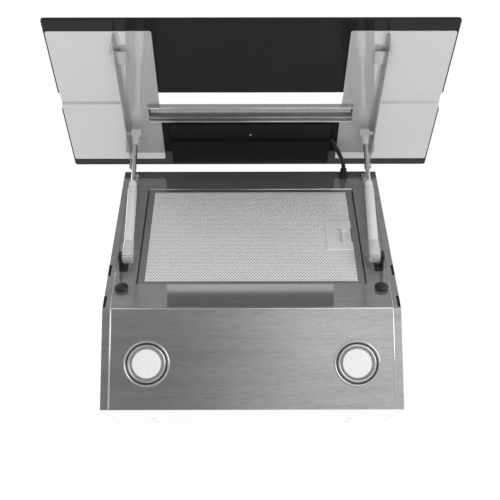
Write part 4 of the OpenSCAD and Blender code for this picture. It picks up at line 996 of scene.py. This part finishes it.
# %% Seam beads with a painted highlight
SEAM_X, LAMP_SEAM_X, FOLD_R, SEAM_R, LAMP_SEAM_R, UPPER_SEAM_R = 201.35, 200.7, 0.75, 0.9, 1.25, 0.45
FOLD_OUT, FOLD_IN, BEAD_END, SEAM_TOP_S, LAMP_SEAM_Z, UPPER_SEAM_Z = 0.3, 0.3, 1.2, 106.0, 0.1, -0.1
OPENING_END, SEAM_OVER, SEAM_UP, SEAM_Z, BAR_SHARP = FILTER_START + FILTER_LEN, 0.4, 0.5, -0.2, 50


def bar_between(place, a, b, r, steps=12):
    """A round bar with softened ends between two places of a frame, in millimetres."""
    a, b, r = place @ Vector(a), place @ Vector(b), r * MM
    way, end = b - a, (b - a).length
    at = Matrix.Translation(a) @ way.to_track_quat("Z", "Y").to_matrix().to_4x4()
    profile = [(0, 0), (r * 0.7, 0), (r, r * 0.4), (r, end - r * 0.4), (r * 0.7, end), (0, end)]
    return turned_mesh("bar", profile, [at], steps)


def cross_bar(place, half, s, z, r, steps=12):
    return bar_between(place, (-half, s, z), (half, s, z), r, steps)


def up_bar(place, x, start, end, z, r, steps=12):
    return bar_between(place, (x, start, z), (x, end, z), r, steps)


def joined_bars(name, bars):
    bm = bmesh.new()
    for mesh in bars:
        bm.from_mesh(mesh)
    joined = bpy.data.meshes.new(name)
    bm.to_mesh(joined)
    bm.free()
    return raw_object(name, smoothed(joined, BAR_SHARP))


bars = [cross_bar(LIFTED, SEAM_X, FOLD_IN - LIGHT_DEPTH, FOLD_OUT, FOLD_R)]
for side in (-1, 1):
    bars += [
        up_bar(LIFTED, side * LAMP_SEAM_X, -BEAD_END, BEAD_END - LIGHT_DEPTH, LAMP_SEAM_Z, LAMP_SEAM_R),
        up_bar(FACE, side * SEAM_X, BEAD_END, SEAM_TOP_S, UPPER_SEAM_Z, UPPER_SEAM_R)]
bars.append(cross_bar(FACE, FILTER_HALF + SEAM_OVER, OPENING_END + SEAM_UP, SEAM_Z, SEAM_R))
# The beads' light finish is a painted highlight.
settle(joined_bars("seam_beads", bars), "bead_steel", body="housing", slot="bezel_steel")
print("seam beads", len(bars))

# %% [markdown]
# Thin black bars lie on the opening's two cut side edges, and a thinner one lies in the running gap at
# the top. They are seen only as dark lines: painted shade for the gaps round the filter.

# %% Dark bars as painted shade in the filter gaps
SIDE_GAP_SHADE_R, SIDE_GAP_SHADE_OUT, SIDE_GAP_SHADE_LOW, SIDE_GAP_SHADE_HIGH = 0.75, 0.3, 1.0, 0.5
TOP_GAP_SHADE_R, TOP_GAP_SHADE_IN, TOP_GAP_SHADE_DOWN = 0.3, 0.28, 0.5
low, high = FILTER_START + SIDE_GAP_SHADE_LOW, OPENING_END - SIDE_GAP_SHADE_HIGH
gap_shade_bars = [up_bar(FACE, side * (FILTER_HALF + SIDE_GAP_SHADE_OUT), low, high, 0, SIDE_GAP_SHADE_R, 10) for side in (-1, 1)]
gap_shade_bars.append(cross_bar(FACE, FILTER_HALF, OPENING_END - TOP_GAP_SHADE_IN, -TOP_GAP_SHADE_DOWN, TOP_GAP_SHADE_R, 8))
# Black rubber bars, painted shade for the gaps round the filter.
settle(joined_bars("filter_cord", gap_shade_bars), "rubber", body="housing")
print("filter cord bars", len(gap_shade_bars))

# %% [markdown]
# The brace between the two rails is a folded strip with a fine ribbing rolled along its upper half.
# Its folds and its lip show bright lines, which a thin round bead on each of them gives; the beads' light
# finish is a painted highlight.

# %% Brace ribbing
BRACE_SEAT, BRACE_T, BRACE_END, TRIM_SHORT = 1.5, 1.5, 3, 0.5
RIB_LOW, RIB_HIGH, RIB_STEP, RIB_R = 166.5, 176.5, 2.4, 0.85
TRIMS = [(187.2, 7.6, 1.0), (152.4, 2.8, 0.6), (140.9, 2.6, 1.2)]  # along the glass, out from it, radius
brace_half = max(v.co.x for v in NODES["cross_brace"].data.vertices) / MM
rib_count = int(2 * (brace_half - BRACE_END) / RIB_STEP)
rib_at = [GLASS @ Vector(((i - (rib_count - 1) / 2) * RIB_STEP, (RIB_LOW + RIB_HIGH) / 2,
                          BRACE_SEAT + BRACE_T)) for i in range(rib_count)]
half_rib = (RIB_HIGH - RIB_LOW) / 2
rib = bar_between(Matrix.Scale(MM, 4), (0, -half_rib, 0), (0, half_rib, 0), RIB_R, 8)
ribs = set_out("brace_ribs", rib, rib_at, DOOR_TURN, "rolled_steel")
settle(ribs, "rolled_steel", body="glass_door")
# Beads on the brace's folds and lip, their light finish a painted highlight.
trim = joined_bars("brace_trim", [
    cross_bar(GLASS, brace_half - TRIM_SHORT, t, BRACE_SEAT + out, r) for t, out, r in TRIMS])
settle(trim, "bead_steel", body="glass_door", slot="mirror_steel")
print("brace ribs", rib_count, "half width mm", round(brace_half, 1))

# %% [markdown]
# The remaining solids sit inside the body, or need no rounding. They keep their own meshes and get
# their finish in their material slots.

# %% Carried over solids
CARRIED = {
    "zinc_steel": ["mounting_plate", "scroll_housing", "motor_bracket"],
    "screw_steel": ["damper_pin", "blower_screws", "motor_shaft", "latch_spring"],
    "black_plastic": ["cable_gland"],
    "grey_plastic": ["front_damper_flap", "rear_damper_flap", "impeller", "terminal_box", "lamp_driver"],
    "motor_steel": ["motor"],
    "lamp_aluminium": ["lamp_bodies"],
    "led_board": ["led_boards"],
    "circuit_board": ["control_board"],
}
for paint, nodes in CARRIED.items():
    for node in nodes:
        paints = NODES[node].data.materials
        if not paints:
            paints.append(FINISHES[paint])
        for i in range(len(paints)):
            paints[i] = FINISHES[paint]
print("carried over", sum(len(nodes) for nodes in CARRIED.values()))
